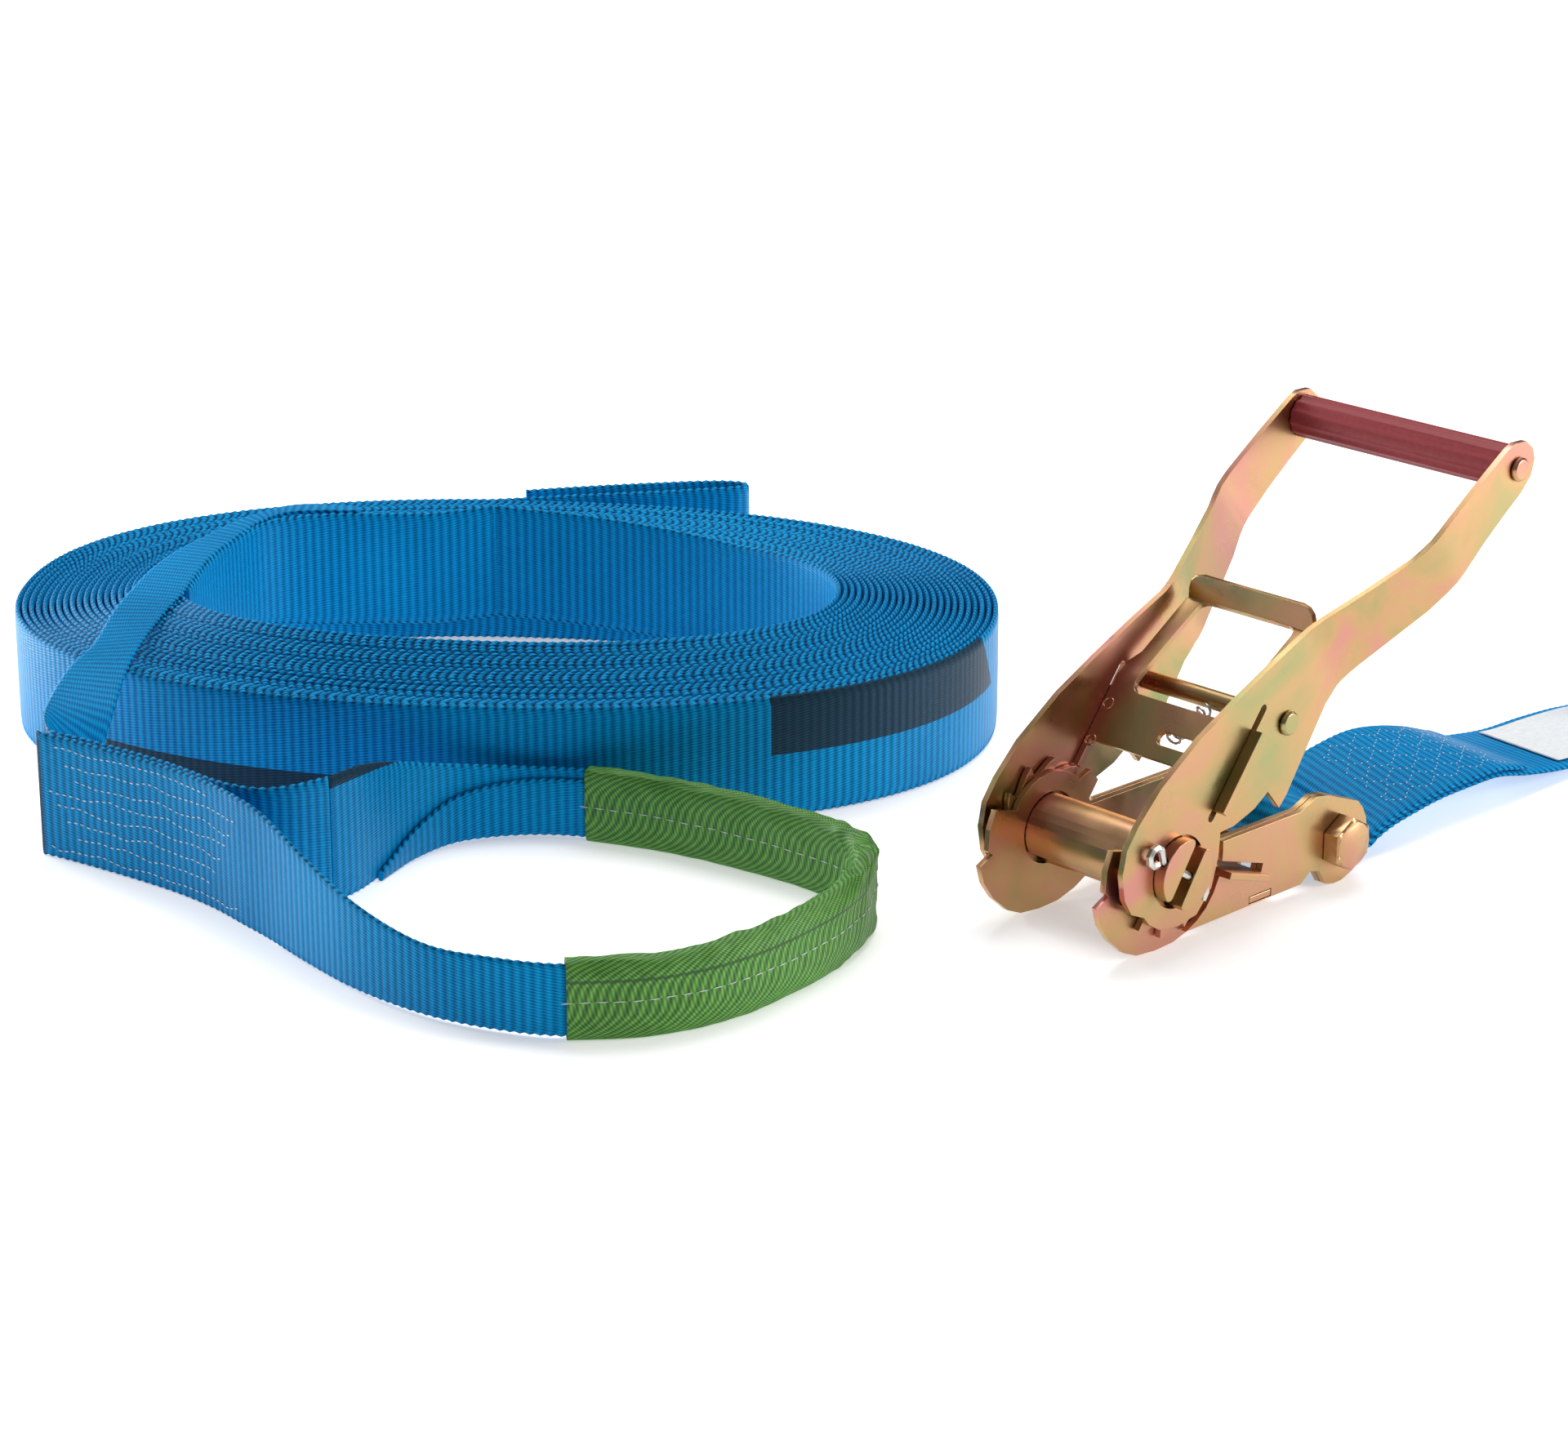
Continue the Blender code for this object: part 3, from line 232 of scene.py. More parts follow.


# Ribbed polyester webbing, woven from shiny multifilament: soft ribs with fine threads, braided edges; its
# colour is lighter on rib crests and thread dashes (painted highlight) and darker in the rib hollows (painted
# shade)
# prints are dark blocks: from and to along the web, edge (+1 or -1), its lowest height and its slant
def webMaterial(name, prints=()):
    made, tree, shader, spot = startMaterial(name, webLook["sockets"])
    place = addNode(tree, "ShaderNodeUVMap", uv_map="webUv")
    parts = addNode(tree, "ShaderNodeSeparateXYZ", {0: place})
    along, across = parts.outputs[0], parts.outputs[1]
    ribPull, warpPull = (2 * math.pi / (webLook[pitch] * mm) for pitch in ("ribPitch", "warpPitch"))
    ribTurn = addNode(tree, "ShaderNodeMath", {0: along, 1: ribPull}, operation="MULTIPLY")
    rib = addNode(tree, "ShaderNodeMath", {0: ribTurn}, operation="COSINE")
    halfTurn = addNode(tree, "ShaderNodeMath", {0: ribTurn, 1: 0.5}, operation="MULTIPLY")
    warpTurn = addNode(
        tree, "ShaderNodeMath", {0: across, 1: warpPull, 2: halfTurn}, operation="MULTIPLY_ADD"
    )
    warp = addNode(tree, "ShaderNodeMath", {0: warpTurn}, operation="SINE")
    grain = addNode(tree, "ShaderNodeTexNoise", {"Vector": spot, **webLook["grain"]})
    wear = addNode(tree, "ShaderNodeTexNoise", {"Vector": spot, **webLook["wear"]})
    height = webLook["ribMiddle"]
    for pattern, share in ((rib, "ribShare"), (warp, "warpShare"), (grain, "grainShare")):
        height = addNode(
            tree, "ShaderNodeMath", {0: pattern, 1: webLook[share], 2: height}, operation="MULTIPLY_ADD"
        )
    # The tone mixes real wear with the relief's height: ribs and threads give painted shade in the hollows
    # and painted highlight on the crests, grain gives random tone
    tone = webLook["toneFrom"]
    for pattern, share in ((wear, "wearShare"), (height, "paintedReliefLightShare")):
        tone = addNode(
            tree, "ShaderNodeMath", {0: pattern, 1: webLook[share], 2: tone}, operation="MULTIPLY_ADD"
        )
    ramp = addNode(tree, "ShaderNodeValToRGB", {0: tone})
    ramp.color_ramp.elements.new(webLook["tones"][1][0])
    for stop, (at, shade) in zip(ramp.color_ramp.elements, webLook["tones"]):
        stop.position, stop.color = at, linear(shade)
    edge = addNode(tree, "ShaderNodeAttribute", attribute_name="webEdge").outputs["Fac"]
    atEdge = addNode(tree, "ShaderNodeMapRange", {
        0: edge, 1: webLook["edgeFrom"], 2: webLook["edgeTo"], 3: 0.0, 4: 1.0,
    })
    # Painted shade: at the braided edges the colour darkens towards gap between the ribs
    edgeGapShade = addNode(tree, "ShaderNodeMapRange", {
        0: rib, 1: webLook["gapFrom"], 2: webLook["gapTo"], 3: 0.0, 4: webLook["gapPaintedShade"],
    })
    dark = addNode(tree, "ShaderNodeMath", {0: atEdge, 1: edgeGapShade}, operation="MULTIPLY")
    colour = addNode(tree, "ShaderNodeMix", {
        "Factor": dark, 6: ramp.outputs[0], 7: linear(webLook["gap"]),
    }, data_type="RGBA").outputs[2]
    for start, end, side, low, slope in prints:
        slant = addNode(tree, "ShaderNodeMath", {0: across, 1: slope, 2: along}, operation="MULTIPLY_ADD")
        after = addNode(tree, "ShaderNodeMath", {0: slant, 1: start}, operation="GREATER_THAN")
        before = addNode(tree, "ShaderNodeMath", {0: along, 1: end}, operation="LESS_THAN")
        above = addNode(tree, "ShaderNodeMath", {0: across, 1: side}, operation="MULTIPLY")
        high = addNode(tree, "ShaderNodeMath", {0: above, 1: low * mm}, operation="GREATER_THAN")
        ink = webLook["ink"]
        for part in (after, before, high):
            ink = addNode(tree, "ShaderNodeMath", {0: part, 1: ink}, operation="MULTIPLY")
        colour = addNode(tree, "ShaderNodeMix", {
            "Factor": ink, 6: colour, 7: linear(webLook["print"]),
        }, data_type="RGBA").outputs[2]
    endMaterial(tree, shader, colour, height, webLook["bump"])
    worked = addNode(tree, "ShaderNodeMapRange", {
        0: edge, 1: webLook["wornFrom"], 2: webLook["edgeFrom"],
        3: webLook["roughness"], 4: webLook["edgeRoughness"],
    })
    tree.links.new(worked.outputs[0], shader.inputs["Roughness"])
    return made


twillLook = {
    "linePitch": 2.1, "lineAlong": 0.6, "lineAcross": 0.8, "lineShare": 0.2, "lineMiddle": 0.38,
    "crossTurn": 1.4, "crossShare": 0.15, "grain": {"Scale": 0.3 / mm, "Detail": 2.0}, "grainShare": 0.3,
    # The crease is a painted shadow: a dark line along the sleeve's side, under the cloth's ledge
    "crease": 2.9, "creaseFrom": 0.2, "creaseTo": 0.8, "paintedCreaseShadow": 0.45,
    "tones": ((0.2, "#1D4A12"), (0.55, "#448524"), (0.95, "#7CBB4E")),
    "bump": {"Strength": 0.5, "Distance": 0.4 * mm}, "sockets": {"Roughness": 0.55},
}


# Twill weave polyester sleeve: diagonal cords that catch the light, with a painted shadow line along its side
# at the crease
def twillMaterial():
    made, tree, shader, spot = startMaterial("woven green twill", twillLook["sockets"])
    place = addNode(tree, "ShaderNodeUVMap", uv_map="webUv")
    parts = addNode(tree, "ShaderNodeSeparateXYZ", {0: place})
    along, across = parts.outputs[0], parts.outputs[1]
    pull = 2 * math.pi / (twillLook["linePitch"] * mm)
    leftPart = addNode(
        tree, "ShaderNodeMath", {0: along, 1: pull * twillLook["lineAlong"]}, operation="MULTIPLY"
    )
    turn = addNode(tree, "ShaderNodeMath", {
        0: across, 1: -pull * twillLook["lineAcross"], 2: leftPart,
    }, operation="MULTIPLY_ADD")
    line = addNode(tree, "ShaderNodeMath", {0: turn}, operation="SINE")
    crossed = addNode(tree, "ShaderNodeMath", {0: along, 1: across}, operation="ADD")
    crossTurn = addNode(
        tree, "ShaderNodeMath", {0: crossed, 1: pull * twillLook["crossTurn"]}, operation="MULTIPLY"
    )
    cross = addNode(tree, "ShaderNodeMath", {0: crossTurn}, operation="SINE")
    grain = addNode(tree, "ShaderNodeTexNoise", {"Vector": spot, **twillLook["grain"]})
    threads = twillLook["lineMiddle"]
    for pattern, share in ((line, "lineShare"), (cross, "crossShare"), (grain, "grainShare")):
        threads = addNode(
            tree, "ShaderNodeMath", {0: pattern, 1: twillLook[share], 2: threads}, operation="MULTIPLY_ADD"
        )
    # Painted shadow: the colour darkens along the crease line
    crease = addNode(tree, "ShaderNodeMath", {0: across, 1: -twillLook["crease"] * mm}, operation="ADD")
    apart = addNode(tree, "ShaderNodeMath", {0: crease}, operation="ABSOLUTE")
    shaded = addNode(tree, "ShaderNodeMapRange", {
        0: apart, 1: twillLook["creaseFrom"] * mm, 2: twillLook["creaseTo"] * mm,
        3: twillLook["paintedCreaseShadow"], 4: 0.0,
    })
    toned = addNode(tree, "ShaderNodeMath", {0: threads, 1: shaded}, operation="SUBTRACT")
    ramp = addNode(tree, "ShaderNodeValToRGB", {0: toned})
    ramp.color_ramp.elements.new(twillLook["tones"][1][0])
    for stop, (at, shade) in zip(ramp.color_ramp.elements, twillLook["tones"]):
        stop.position, stop.color = at, linear(shade)
    endMaterial(tree, shader, ramp.outputs[0], threads, twillLook["bump"])
    return made


steelLook = {
    "patches": {"Scale": 0.017 / mm, "Detail": 4.0, "Distortion": 1.2}, "places": (0.3, 0.5, 0.7),
    "smudges": {"Scale": 0.06 / mm, "Detail": 5.0}, "glossier": 0.06, "duller": 0.12,
    "grain": {"Scale": 0.7 / mm, "Detail": 3.0}, "bump": {"Strength": 0.12, "Distance": 0.1 * mm},
}


# Zinc plated steel; yellow passivation leaves patches of pink and green over gold, and a soft gloss
def steelMaterial(name, tones, roughness):
    made, tree, shader, spot = startMaterial(name, {"Metallic": 1.0})
    patches = addNode(tree, "ShaderNodeTexNoise", {"Vector": spot, **steelLook["patches"]})
    ramp = addNode(tree, "ShaderNodeValToRGB", {0: patches})
    low, middle, high = steelLook["places"]
    ramp.color_ramp.elements.new(middle)
    for stop, at, shade in zip(ramp.color_ramp.elements, steelLook["places"], tones):
        stop.position, stop.color = at, linear(shade)
    smudges = addNode(tree, "ShaderNodeTexNoise", {"Vector": spot, **steelLook["smudges"]})
    dull = addNode(tree, "ShaderNodeMapRange", {
        0: smudges, 1: low, 2: high, 3: roughness - steelLook["glossier"], 4: roughness + steelLook["duller"],
    })
    tree.links.new(dull.outputs[0], shader.inputs["Roughness"])
    grain = addNode(tree, "ShaderNodeTexNoise", {"Vector": spot, **steelLook["grain"]})
    endMaterial(tree, shader, ramp.outputs[0], grain, steelLook["bump"])
    return made


# Bonded polyester sewing thread, slightly glossy
threadLook = {
    "grain": {"Scale": 0.9 / mm, "Detail": 2.0}, "tones": ("#B9C6D2", "#F3F5F6"), "bump": None,
    "sockets": {"Roughness": 0.5},
}
# Extruded PVC grip, dull red and faintly grained
gripLook = {
    "grain": {"Scale": 0.45 / mm, "Detail": 3.0}, "tones": ("#842B30", "#A23C42"),
    "bump": {"Strength": 0.15, "Distance": 0.1 * mm},
    "sockets": {"Roughness": 0.5, "Specular IOR Level": 0.3},
}
# Bare satin label tape, woven of fine white polyester
tapeLook = {
    "grain": {"Scale": 0.5 / mm, "Detail": 2.0}, "tones": ("#D5D9DC", "#F6F7F7"), "bump": None,
    "sockets": {"Roughness": 0.45, "Sheen Weight": 0.2},
}


# A plain finish: fine grain between two tones
def grainyMaterial(name, look):
    made, tree, shader, spot = startMaterial(name, look["sockets"])
    grain = addNode(tree, "ShaderNodeTexNoise", {"Vector": spot, **look["grain"]})
    ramp = addNode(tree, "ShaderNodeValToRGB", {0: grain})
    for stop, shade in zip(ramp.color_ramp.elements, look["tones"]):
        stop.color = linear(shade)
    endMaterial(tree, shader, ramp.outputs[0], grain, look["bump"])
    return made


webbing = webMaterial("ribbed polyester webbing")
twill = twillMaterial()
thread = grainyMaterial("white sewing thread", threadLook)
yellowZinc = steelMaterial(
    "yellow passivated zinc on pressed steel", ("#CA897F", "#BF9A6C", "#979C69"), roughness=0.3
)
clearZinc = steelMaterial("clear zinc on steel", ("#C4C6C4", "#D2D2CC", "#DAD4C4"), roughness=0.3)
redGrip = grainyMaterial("extruded red PVC", gripLook)
labelTape = grainyMaterial("white satin tape", tapeLook)
print("materials made")


# Woven bands and stitches, grown on rails by Geometry Nodes
def startTree(name, inputs):
    tree = bpy.data.node_groups.new(name, "GeometryNodeTree")
    tree.interface.new_socket("Geometry", in_out="INPUT", socket_type="NodeSocketGeometry")
    for label, kind, value in inputs:
        socket = tree.interface.new_socket(label, in_out="INPUT", socket_type=kind)
        if value is not None:
            socket.default_value = value
    tree.interface.new_socket("Geometry", in_out="OUTPUT", socket_type="NodeSocketGeometry")
    return tree, tree.nodes.new("NodeGroupInput").outputs


# Lengths are in millimetres; the powers square off the band's outline, and the braid is on its rim
band = {
    "ribPitch": webLook["ribPitch"], "wave": 0.06, "scallop": 0.3, "braid": 1.0, "sides": 12,
    "powers": (0.25, 0.4), "scallopPower": 5.0, "rim": 0.93,
}


# A ring of points for each half rib: the band bends to and fro, and its edges are scalloped
def bandTree():
    tree, given = startTree("wovenBand", [
        *[(label, "NodeSocketFloat", band[label] * mm) for label in ("ribPitch", "wave", "scallop", "braid")],
        ("sides", "NodeSocketInt", band["sides"]), ("finish", "NodeSocketMaterial", None),
    ])
    rail = addNode(tree, "GeometryNodeMeshToCurve", {"Mesh": given["Geometry"]})
    length = addNode(tree, "GeometryNodeCurveLength", {0: rail})
    share = addNode(tree, "ShaderNodeMath", {0: length, 1: given["ribPitch"]}, operation="DIVIDE")
    ribs = addNode(tree, "ShaderNodeMath", {0: share}, operation="ROUND")
    rings = addNode(tree, "ShaderNodeMath", {0: ribs, 1: 2.0}, operation="MULTIPLY")
    tube = addNode(tree, "GeometryNodeMeshCylinder", {
        "Vertices": given["sides"], "Side Segments": rings, "Radius": 1.0, "Depth": 1.0,
    })
    spot = addNode(tree, "ShaderNodeSeparateXYZ", {0: addNode(tree, "GeometryNodeInputPosition")})
    factor = addNode(tree, "ShaderNodeMath", {0: spot.outputs[2], 1: 0.5}, operation="ADD")
    samples = {}
    for label in ("up", "size"):
        field = addNode(tree, "GeometryNodeInputNamedAttribute", {"Name": label}, data_type="FLOAT_VECTOR")
        samples[label] = addNode(
            tree, "GeometryNodeSampleCurve", {"Curves": rail, "Value": field, "Factor": factor},
            data_type="FLOAT_VECTOR", mode="FACTOR", use_all_curves=False,
        )
    middle, way = samples["up"].outputs["Position"], samples["up"].outputs["Tangent"]
    upward = addNode(tree, "ShaderNodeVectorMath", {0: samples["up"].outputs["Value"]}, operation="NORMALIZE")
    sideRaw = addNode(tree, "ShaderNodeVectorMath", {0: way, 1: upward}, operation="CROSS_PRODUCT")
    side = addNode(tree, "ShaderNodeVectorMath", {0: sideRaw}, operation="NORMALIZE")
    size = addNode(tree, "ShaderNodeSeparateXYZ", {0: samples["size"].outputs["Value"]})
    shares, reaches = [], []
    for k, power in enumerate(band["powers"]):
        bare = addNode(tree, "ShaderNodeMath", {0: spot.outputs[k]}, operation="ABSOLUTE")
        raised = addNode(tree, "ShaderNodeMath", {0: bare, 1: power}, operation="POWER")
        sign = addNode(tree, "ShaderNodeMath", {0: spot.outputs[k]}, operation="SIGN")
        shares.append(addNode(tree, "ShaderNodeMath", {0: raised, 1: sign}, operation="MULTIPLY"))
        half = addNode(tree, "ShaderNodeMath", {0: size.outputs[k], 1: 0.5}, operation="MULTIPLY")
        reaches.append(addNode(tree, "ShaderNodeMath", {0: half, 1: shares[k]}, operation="MULTIPLY"))
    across, deep = reaches
    ribCount = addNode(tree, "ShaderNodeMath", {0: factor, 1: ribs}, operation="MULTIPLY")
    turn = addNode(tree, "ShaderNodeMath", {0: ribCount, 1: 2 * math.pi}, operation="MULTIPLY")
    swing = addNode(tree, "ShaderNodeMath", {0: turn}, operation="COSINE")
    atEdge = addNode(tree, "ShaderNodeMath", {0: spot.outputs[0], 1: band["scallopPower"]}, operation="POWER")
    scallop = addNode(tree, "ShaderNodeMath", {0: atEdge, 1: given["scallop"]}, operation="MULTIPLY")
    scalloped = addNode(tree, "ShaderNodeMath", {0: scallop, 1: swing, 2: across}, operation="MULTIPLY_ADD")
    waved = addNode(tree, "ShaderNodeMath", {0: given["wave"], 1: swing, 2: deep}, operation="MULTIPLY_ADD")
    upPart = addNode(tree, "ShaderNodeVectorMath", {0: upward, "Scale": scalloped}, operation="SCALE")
    sidePart = addNode(tree, "ShaderNodeVectorMath", {0: side, "Scale": waved}, operation="SCALE")
    both = addNode(tree, "ShaderNodeVectorMath", {0: upPart, 1: sidePart}, operation="ADD")
    place = addNode(tree, "ShaderNodeVectorMath", {0: both, 1: middle}, operation="ADD")
    edge = addNode(tree, "ShaderNodeMath", {0: shares[0]}, operation="ABSOLUTE")
    rim = addNode(tree, "ShaderNodeMath", {0: edge, 1: band["rim"]}, operation="GREATER_THAN")
    slope = addNode(tree, "ShaderNodeMath", {0: shares[1], 1: given["braid"]}, operation="MULTIPLY")
    shift = addNode(tree, "ShaderNodeMath", {0: slope, 1: rim}, operation="MULTIPLY")
    along = addNode(
        tree, "ShaderNodeMath", {0: ribCount, 1: given["ribPitch"], 2: shift}, operation="MULTIPLY_ADD"
    )
    uv = addNode(tree, "ShaderNodeCombineXYZ", {0: along, 1: across})
    marked = addNode(
        tree, "GeometryNodeStoreNamedAttribute", {"Geometry": tube, "Name": "webUv", "Value": uv},
        data_type="FLOAT2", domain="CORNER",
    )
    rimmed = addNode(
        tree, "GeometryNodeStoreNamedAttribute", {"Geometry": marked, "Name": "webEdge", "Value": edge},
        data_type="FLOAT", domain="POINT",
    )
    moved = addNode(tree, "GeometryNodeSetPosition", {"Geometry": rimmed, "Position": place})
    soft = addNode(tree, "GeometryNodeSetShadeSmooth", {
        "Geometry": moved, "Selection": tube.outputs["Side"],
    }, domain="FACE")
    finished = addNode(tree, "GeometryNodeSetMaterial", {"Geometry": soft, "Material": given["finish"]})
    real = addNode(tree, "GeometryNodeRealizeInstances", {"Geometry": finished})
    addNode(tree, "NodeGroupOutput", {0: real})
    return tree


# Thread stitches, one at each step along the rails
def stitchTree():
    tree, given = startTree("stitches", [
        *[(label, "NodeSocketFloat", None) for label in ("pitch", "long", "thick")],
        ("finish", "NodeSocketMaterial", None),
    ])
    rail = addNode(tree, "GeometryNodeMeshToCurve", {"Mesh": given["Geometry"]})
    spread = addNode(
        tree, "GeometryNodeResampleCurve", {"Curve": rail, "Length": given["pitch"]}, mode="LENGTH"
    )
    drop = addNode(tree, "GeometryNodeMeshUVSphere", {"Segments": 6, "Rings": 4, "Radius": 0.5})
    way = addNode(tree, "GeometryNodeInputTangent")
    turn = addNode(tree, "FunctionNodeAlignRotationToVector", {"Vector": way}, axis="X")
    size = addNode(tree, "ShaderNodeCombineXYZ", {0: given["long"], 1: given["thick"], 2: given["thick"]})
    sown = addNode(tree, "GeometryNodeInstanceOnPoints", {
        "Points": spread, "Instance": drop, "Rotation": turn, "Scale": size,
    })
    real = addNode(tree, "GeometryNodeRealizeInstances", {"Geometry": sown})
    soft = addNode(tree, "GeometryNodeSetShadeSmooth", {"Geometry": real})
    finished = addNode(tree, "GeometryNodeSetMaterial", {"Geometry": soft, "Material": given["finish"]})
    addNode(tree, "NodeGroupOutput", {0: finished})
    return tree


# Grows a tree on rails, each a list of (point, up, width, thickness), and returns a plain object
def grow(name, tree, rails, settings):
    points, edges, ups, sizes = [], [], [], []
    for rail in rails:
        first = len(points)
        points += [tuple(row[0]) for row in rail]
        ups += [tuple(row[1]) for row in rail]
        sizes += [(row[2], row[3], 0) for row in rail]
        edges += [(k, k + 1) for k in range(first, len(points) - 1)]
    mesh = bpy.data.meshes.new(name + "Rail")
    mesh.from_pydata(points, edges, [])
    for label, values in (("up", ups), ("size", sizes)):
        layer = mesh.attributes.new(label, "FLOAT_VECTOR", "POINT")
        layer.data.foreach_set("vector", np.array(values, np.float32).ravel())
    thing = bpy.data.objects.new(name, mesh)
    scene.collection.objects.link(thing)
    grown = thing.modifiers.new("grow", "NODES")
    grown.node_group = tree
    for item in tree.interface.items_tree:
        if item.in_out == "INPUT" and item.name in settings:
            grown[item.identifier] = settings[item.name]
    graph = bpy.context.evaluated_depsgraph_get()
    result = bpy.data.meshes.new_from_object(thing.evaluated_get(graph), depsgraph=graph)
    result.name = name
    thing.modifiers.remove(grown)
    thing.data = result
    bpy.data.meshes.remove(mesh)
    return thing


def joined(name, things):
    if len(things) > 1:
        with bpy.context.temp_override(active_object=things[0], selected_editable_objects=things):
            bpy.ops.object.join()
    things[0].name = name
    things[0].data.name = name
    return things[0]


# Turns a bmesh into an object of one finish
def finishShape(name, shape, finish):
    mesh = bpy.data.meshes.new(name)
    shape.to_mesh(mesh)
    shape.free()
    mesh.materials.append(finish)
    made = bpy.data.objects.new(name, mesh)
    scene.collection.objects.link(made)
    return made


def railLength(rail):
    return sum((b[0] - a[0]).length for a, b in zip(rail, rail[1:]))


woven = bandTree()
sewn = stitchTree()


# Webbing on one rail or more, joined into one object; its printed length is the first rail's unless given
def weave(name, rails, body, replaced, finish=webbing, length=None):
    made = joined(name, [grow(name, woven, [rail], {"finish": finish}) for rail in rails])
    length = length or railLength(rails[0])
    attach(made, body)
    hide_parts(replaced)
    print(f"{name}: {length:.3f} m of webbing, {len(made.data.polygons)} faces")


# The coil on edge; each print starts and ends so many metres from the line's outer end
coil = {
    "turns": 24, "perTurn": 144, "innerLong": 136, "innerWide": 90.3, "outerLong": 203.6, "outerWide": 138.8,
    "power": 2.2, "lean": -6, "start": 97, "rise": 11.5, "farRise": 1.0, "riseShare": 0.8, "leadBlend": 18,
    "width": 50, "fullness": 0.86, "thickest": 2.3, "floorGap": 0.3,
    "uneven": 0.7, "unevenSteps": 38, "seed": 3.7,
    "pieces": ("coilInnerTurns", "coilMiddleTurns", "coilOuterTurns"),
    "prints": ((0.775, 0.645, 1, 1, -0.6), (0.51, 0.325, -1, 6, -0.3)),
}


def coilTurn(share):
    return (coil["start"] - 360 * coil["turns"] * share) * deg


def coilFlat(share):
    c, s = math.cos(coilTurn(share)), math.sin(coilTurn(share))
    long = coil["innerLong"] + (coil["outerLong"] - coil["innerLong"]) * share
    wide = coil["innerWide"] + (coil["outerWide"] - coil["innerWide"]) * share
    x = long * math.copysign(abs(c) ** (2 / coil["power"]), c)
    y = wide * math.copysign(abs(s) ** (2 / coil["power"]), s)
    lean = coil["lean"] * deg
    return x * math.cos(lean) - y * math.sin(lean), x * math.sin(lean) + y * math.cos(lean)


# The inner turns are lifted, most of all near the lead, and each turn fills its gap to the next
def coilRail():
    rail = []
    steps = coil["turns"] * coil["perTurn"]
    nudge = 0.2 / steps
    for k in range(steps + 1):
        share = k / steps
        x, y = coilFlat(share)
        ahead, behind = coilFlat(share + nudge), coilFlat(share - nudge)
        other = coilFlat(share + 1 / coil["turns"] if share < 0.5 else share - 1 / coil["turns"])
        way = Vector((ahead[0] - behind[0], ahead[1] - behind[1])).normalized()
        gap = abs((other[0] - x) * way.y - (other[1] - y) * way.x)
        thick = min(gap * coil["fullness"], coil["thickest"])
        fall = (coil["rise"] - coil["farRise"]) * math.sin(coilTurn(share))
        rise = (coil["rise"] + coil["farRise"] - fall) / 2
        rise += (coil["rise"] - rise) * max(1 - k / coil["leadBlend"], 0)
        lift = rise * max(1 - share / coil["riseShare"], 0)
        rough = noise.noise((k / coil["unevenSteps"], coil["seed"], 0)) * coil["uneven"]
        height = coil["width"] / 2 + lift + max(rough, -coil["floorGap"]) + coil["floorGap"]
        rail.append((linePoint(x, y, height), up, coil["width"] * mm, thick * mm))
    return rail


def makeCoil():
    rail = coilRail()
    names = coil["pieces"]
    cut = [round(k * (len(rail) - 1) / len(names)) for k in range(len(names) + 1)]
    for k, name in enumerate(names):
        part = rail[cut[k]:cut[k + 1] + 1]
        finish = webbing
        if name == names[-1]:
            length = railLength(part)
            finish = webMaterial("printed polyester webbing", [
                (length - start, length - end, *rest) for start, end, *rest in coil["prints"]
            ])
        weave(name, [part], "line", "line_coil", finish)
    return rail


coilLine = makeCoil()
print("coil made")

# Routes of the line outside the coil, in millimetres from its middle
endFold = [
    (-8, 141.5), (4, 144), (22, 147.5), (54, 152.5), (82, 158), (93, 160.6), (97.5, 164.6), (93, 168.4),
    (80, 169.4), (54, 166), (19, 159.5), (-17, 151),
]
# The lead's standing wall: its upper edge and its width
leadWall = [
    (-26, 87.5, 59.5, 50), (-54, 86, 60, 50), (-84, 80, 61.5, 50), (-107, 67, 62, 46), (-118, 44, 61, 38),
    (-124.5, 21, 60.5, 33), (-128, 0, 59.5, 29), (-130, -20, 59, 27),
]
# The rest lies over the turns, then stands behind the sewn block: its outer and its inner edge
leadOver = [
    ((-70, 89, 61.5), (-69, 84, 61)), ((-96, 87, 63), (-97, 79, 62)),
    ((-116, 68, 63), (-110, 64, 62)), ((-130, 45, 62), (-118.5, 42, 61)),
    ((-141, 22, 61.5), (-125, 19, 60.5)), ((-148.5, 0, 60.5), (-128.5, -3, 59.5)),
    ((-152, -20, 60), (-131, -22, 58.5)), ((-156, -50, 59.5), (-136, -42, 56.5)),
    ((-159, -86, 57.5), (-141, -70, 54)), ((-165, -110, 56), (-144, -97, 50.5)),
    ((-168, -138, 53.5), (-146, -126, 42)), ((-168, -152, 52), (-151, -148, 24)),
    ((-166, -160, 51), (-158, -160, 6)), ((-162.7, -166, 50.4), (-162.7, -166, 0.4)),
    ((-146.6, -176.5, 50.4), (-146.6, -176.5, 0.4)), ((-116.5, -198.9, 50.4), (-116.5, -198.9, 0.4)),
    ((-96.3, -217.9, 50.4), (-96.3, -217.9, 0.4)), ((-87, -224.5, 50.4), (-87, -224.5, 0.4)),
    ((-77, -228, 50.4), (-77, -228, 0.4)), ((-66, -225, 50.4), (-66, -225, 0.4)),
    ((-54, -216, 50.4), (-54, -216, 0.4)),
]
# The eye: a place, the height of its wall, and how far the webbing is folded double
eye = [
    (-168.5, -165, 50, 0), (-148, -178.5, 50, 0), (-118, -200.8, 50, 0), (-98, -219.5, 50, 0),
    (-84, -237, 50, 0), (-73, -251, 48, 0.1), (-56, -275, 41, 0.45), (-36, -300, 33, 0.85),
    (-11, -322, 27, 1), (14, -335, 27, 1), (39, -341, 27, 1), (69, -337, 27, 1), (94, -323, 27, 1),
    (116, -300, 27, 1), (134, -272, 27, 1), (143, -245, 27, 1), (141, -222, 27, 1), (126, -203, 27, 1),
    (99, -181, 27, 1), (69, -162, 27, 1), (39, -150, 27, 1), (14, -147.5, 27.5, 1), (-11, -154, 31, 0.85),
    (-27, -169, 38, 0.45), (-37, -186, 45, 0.1), (-45, -203, 49.6, 0), (-53.75, -215.7, 50, 0),
]
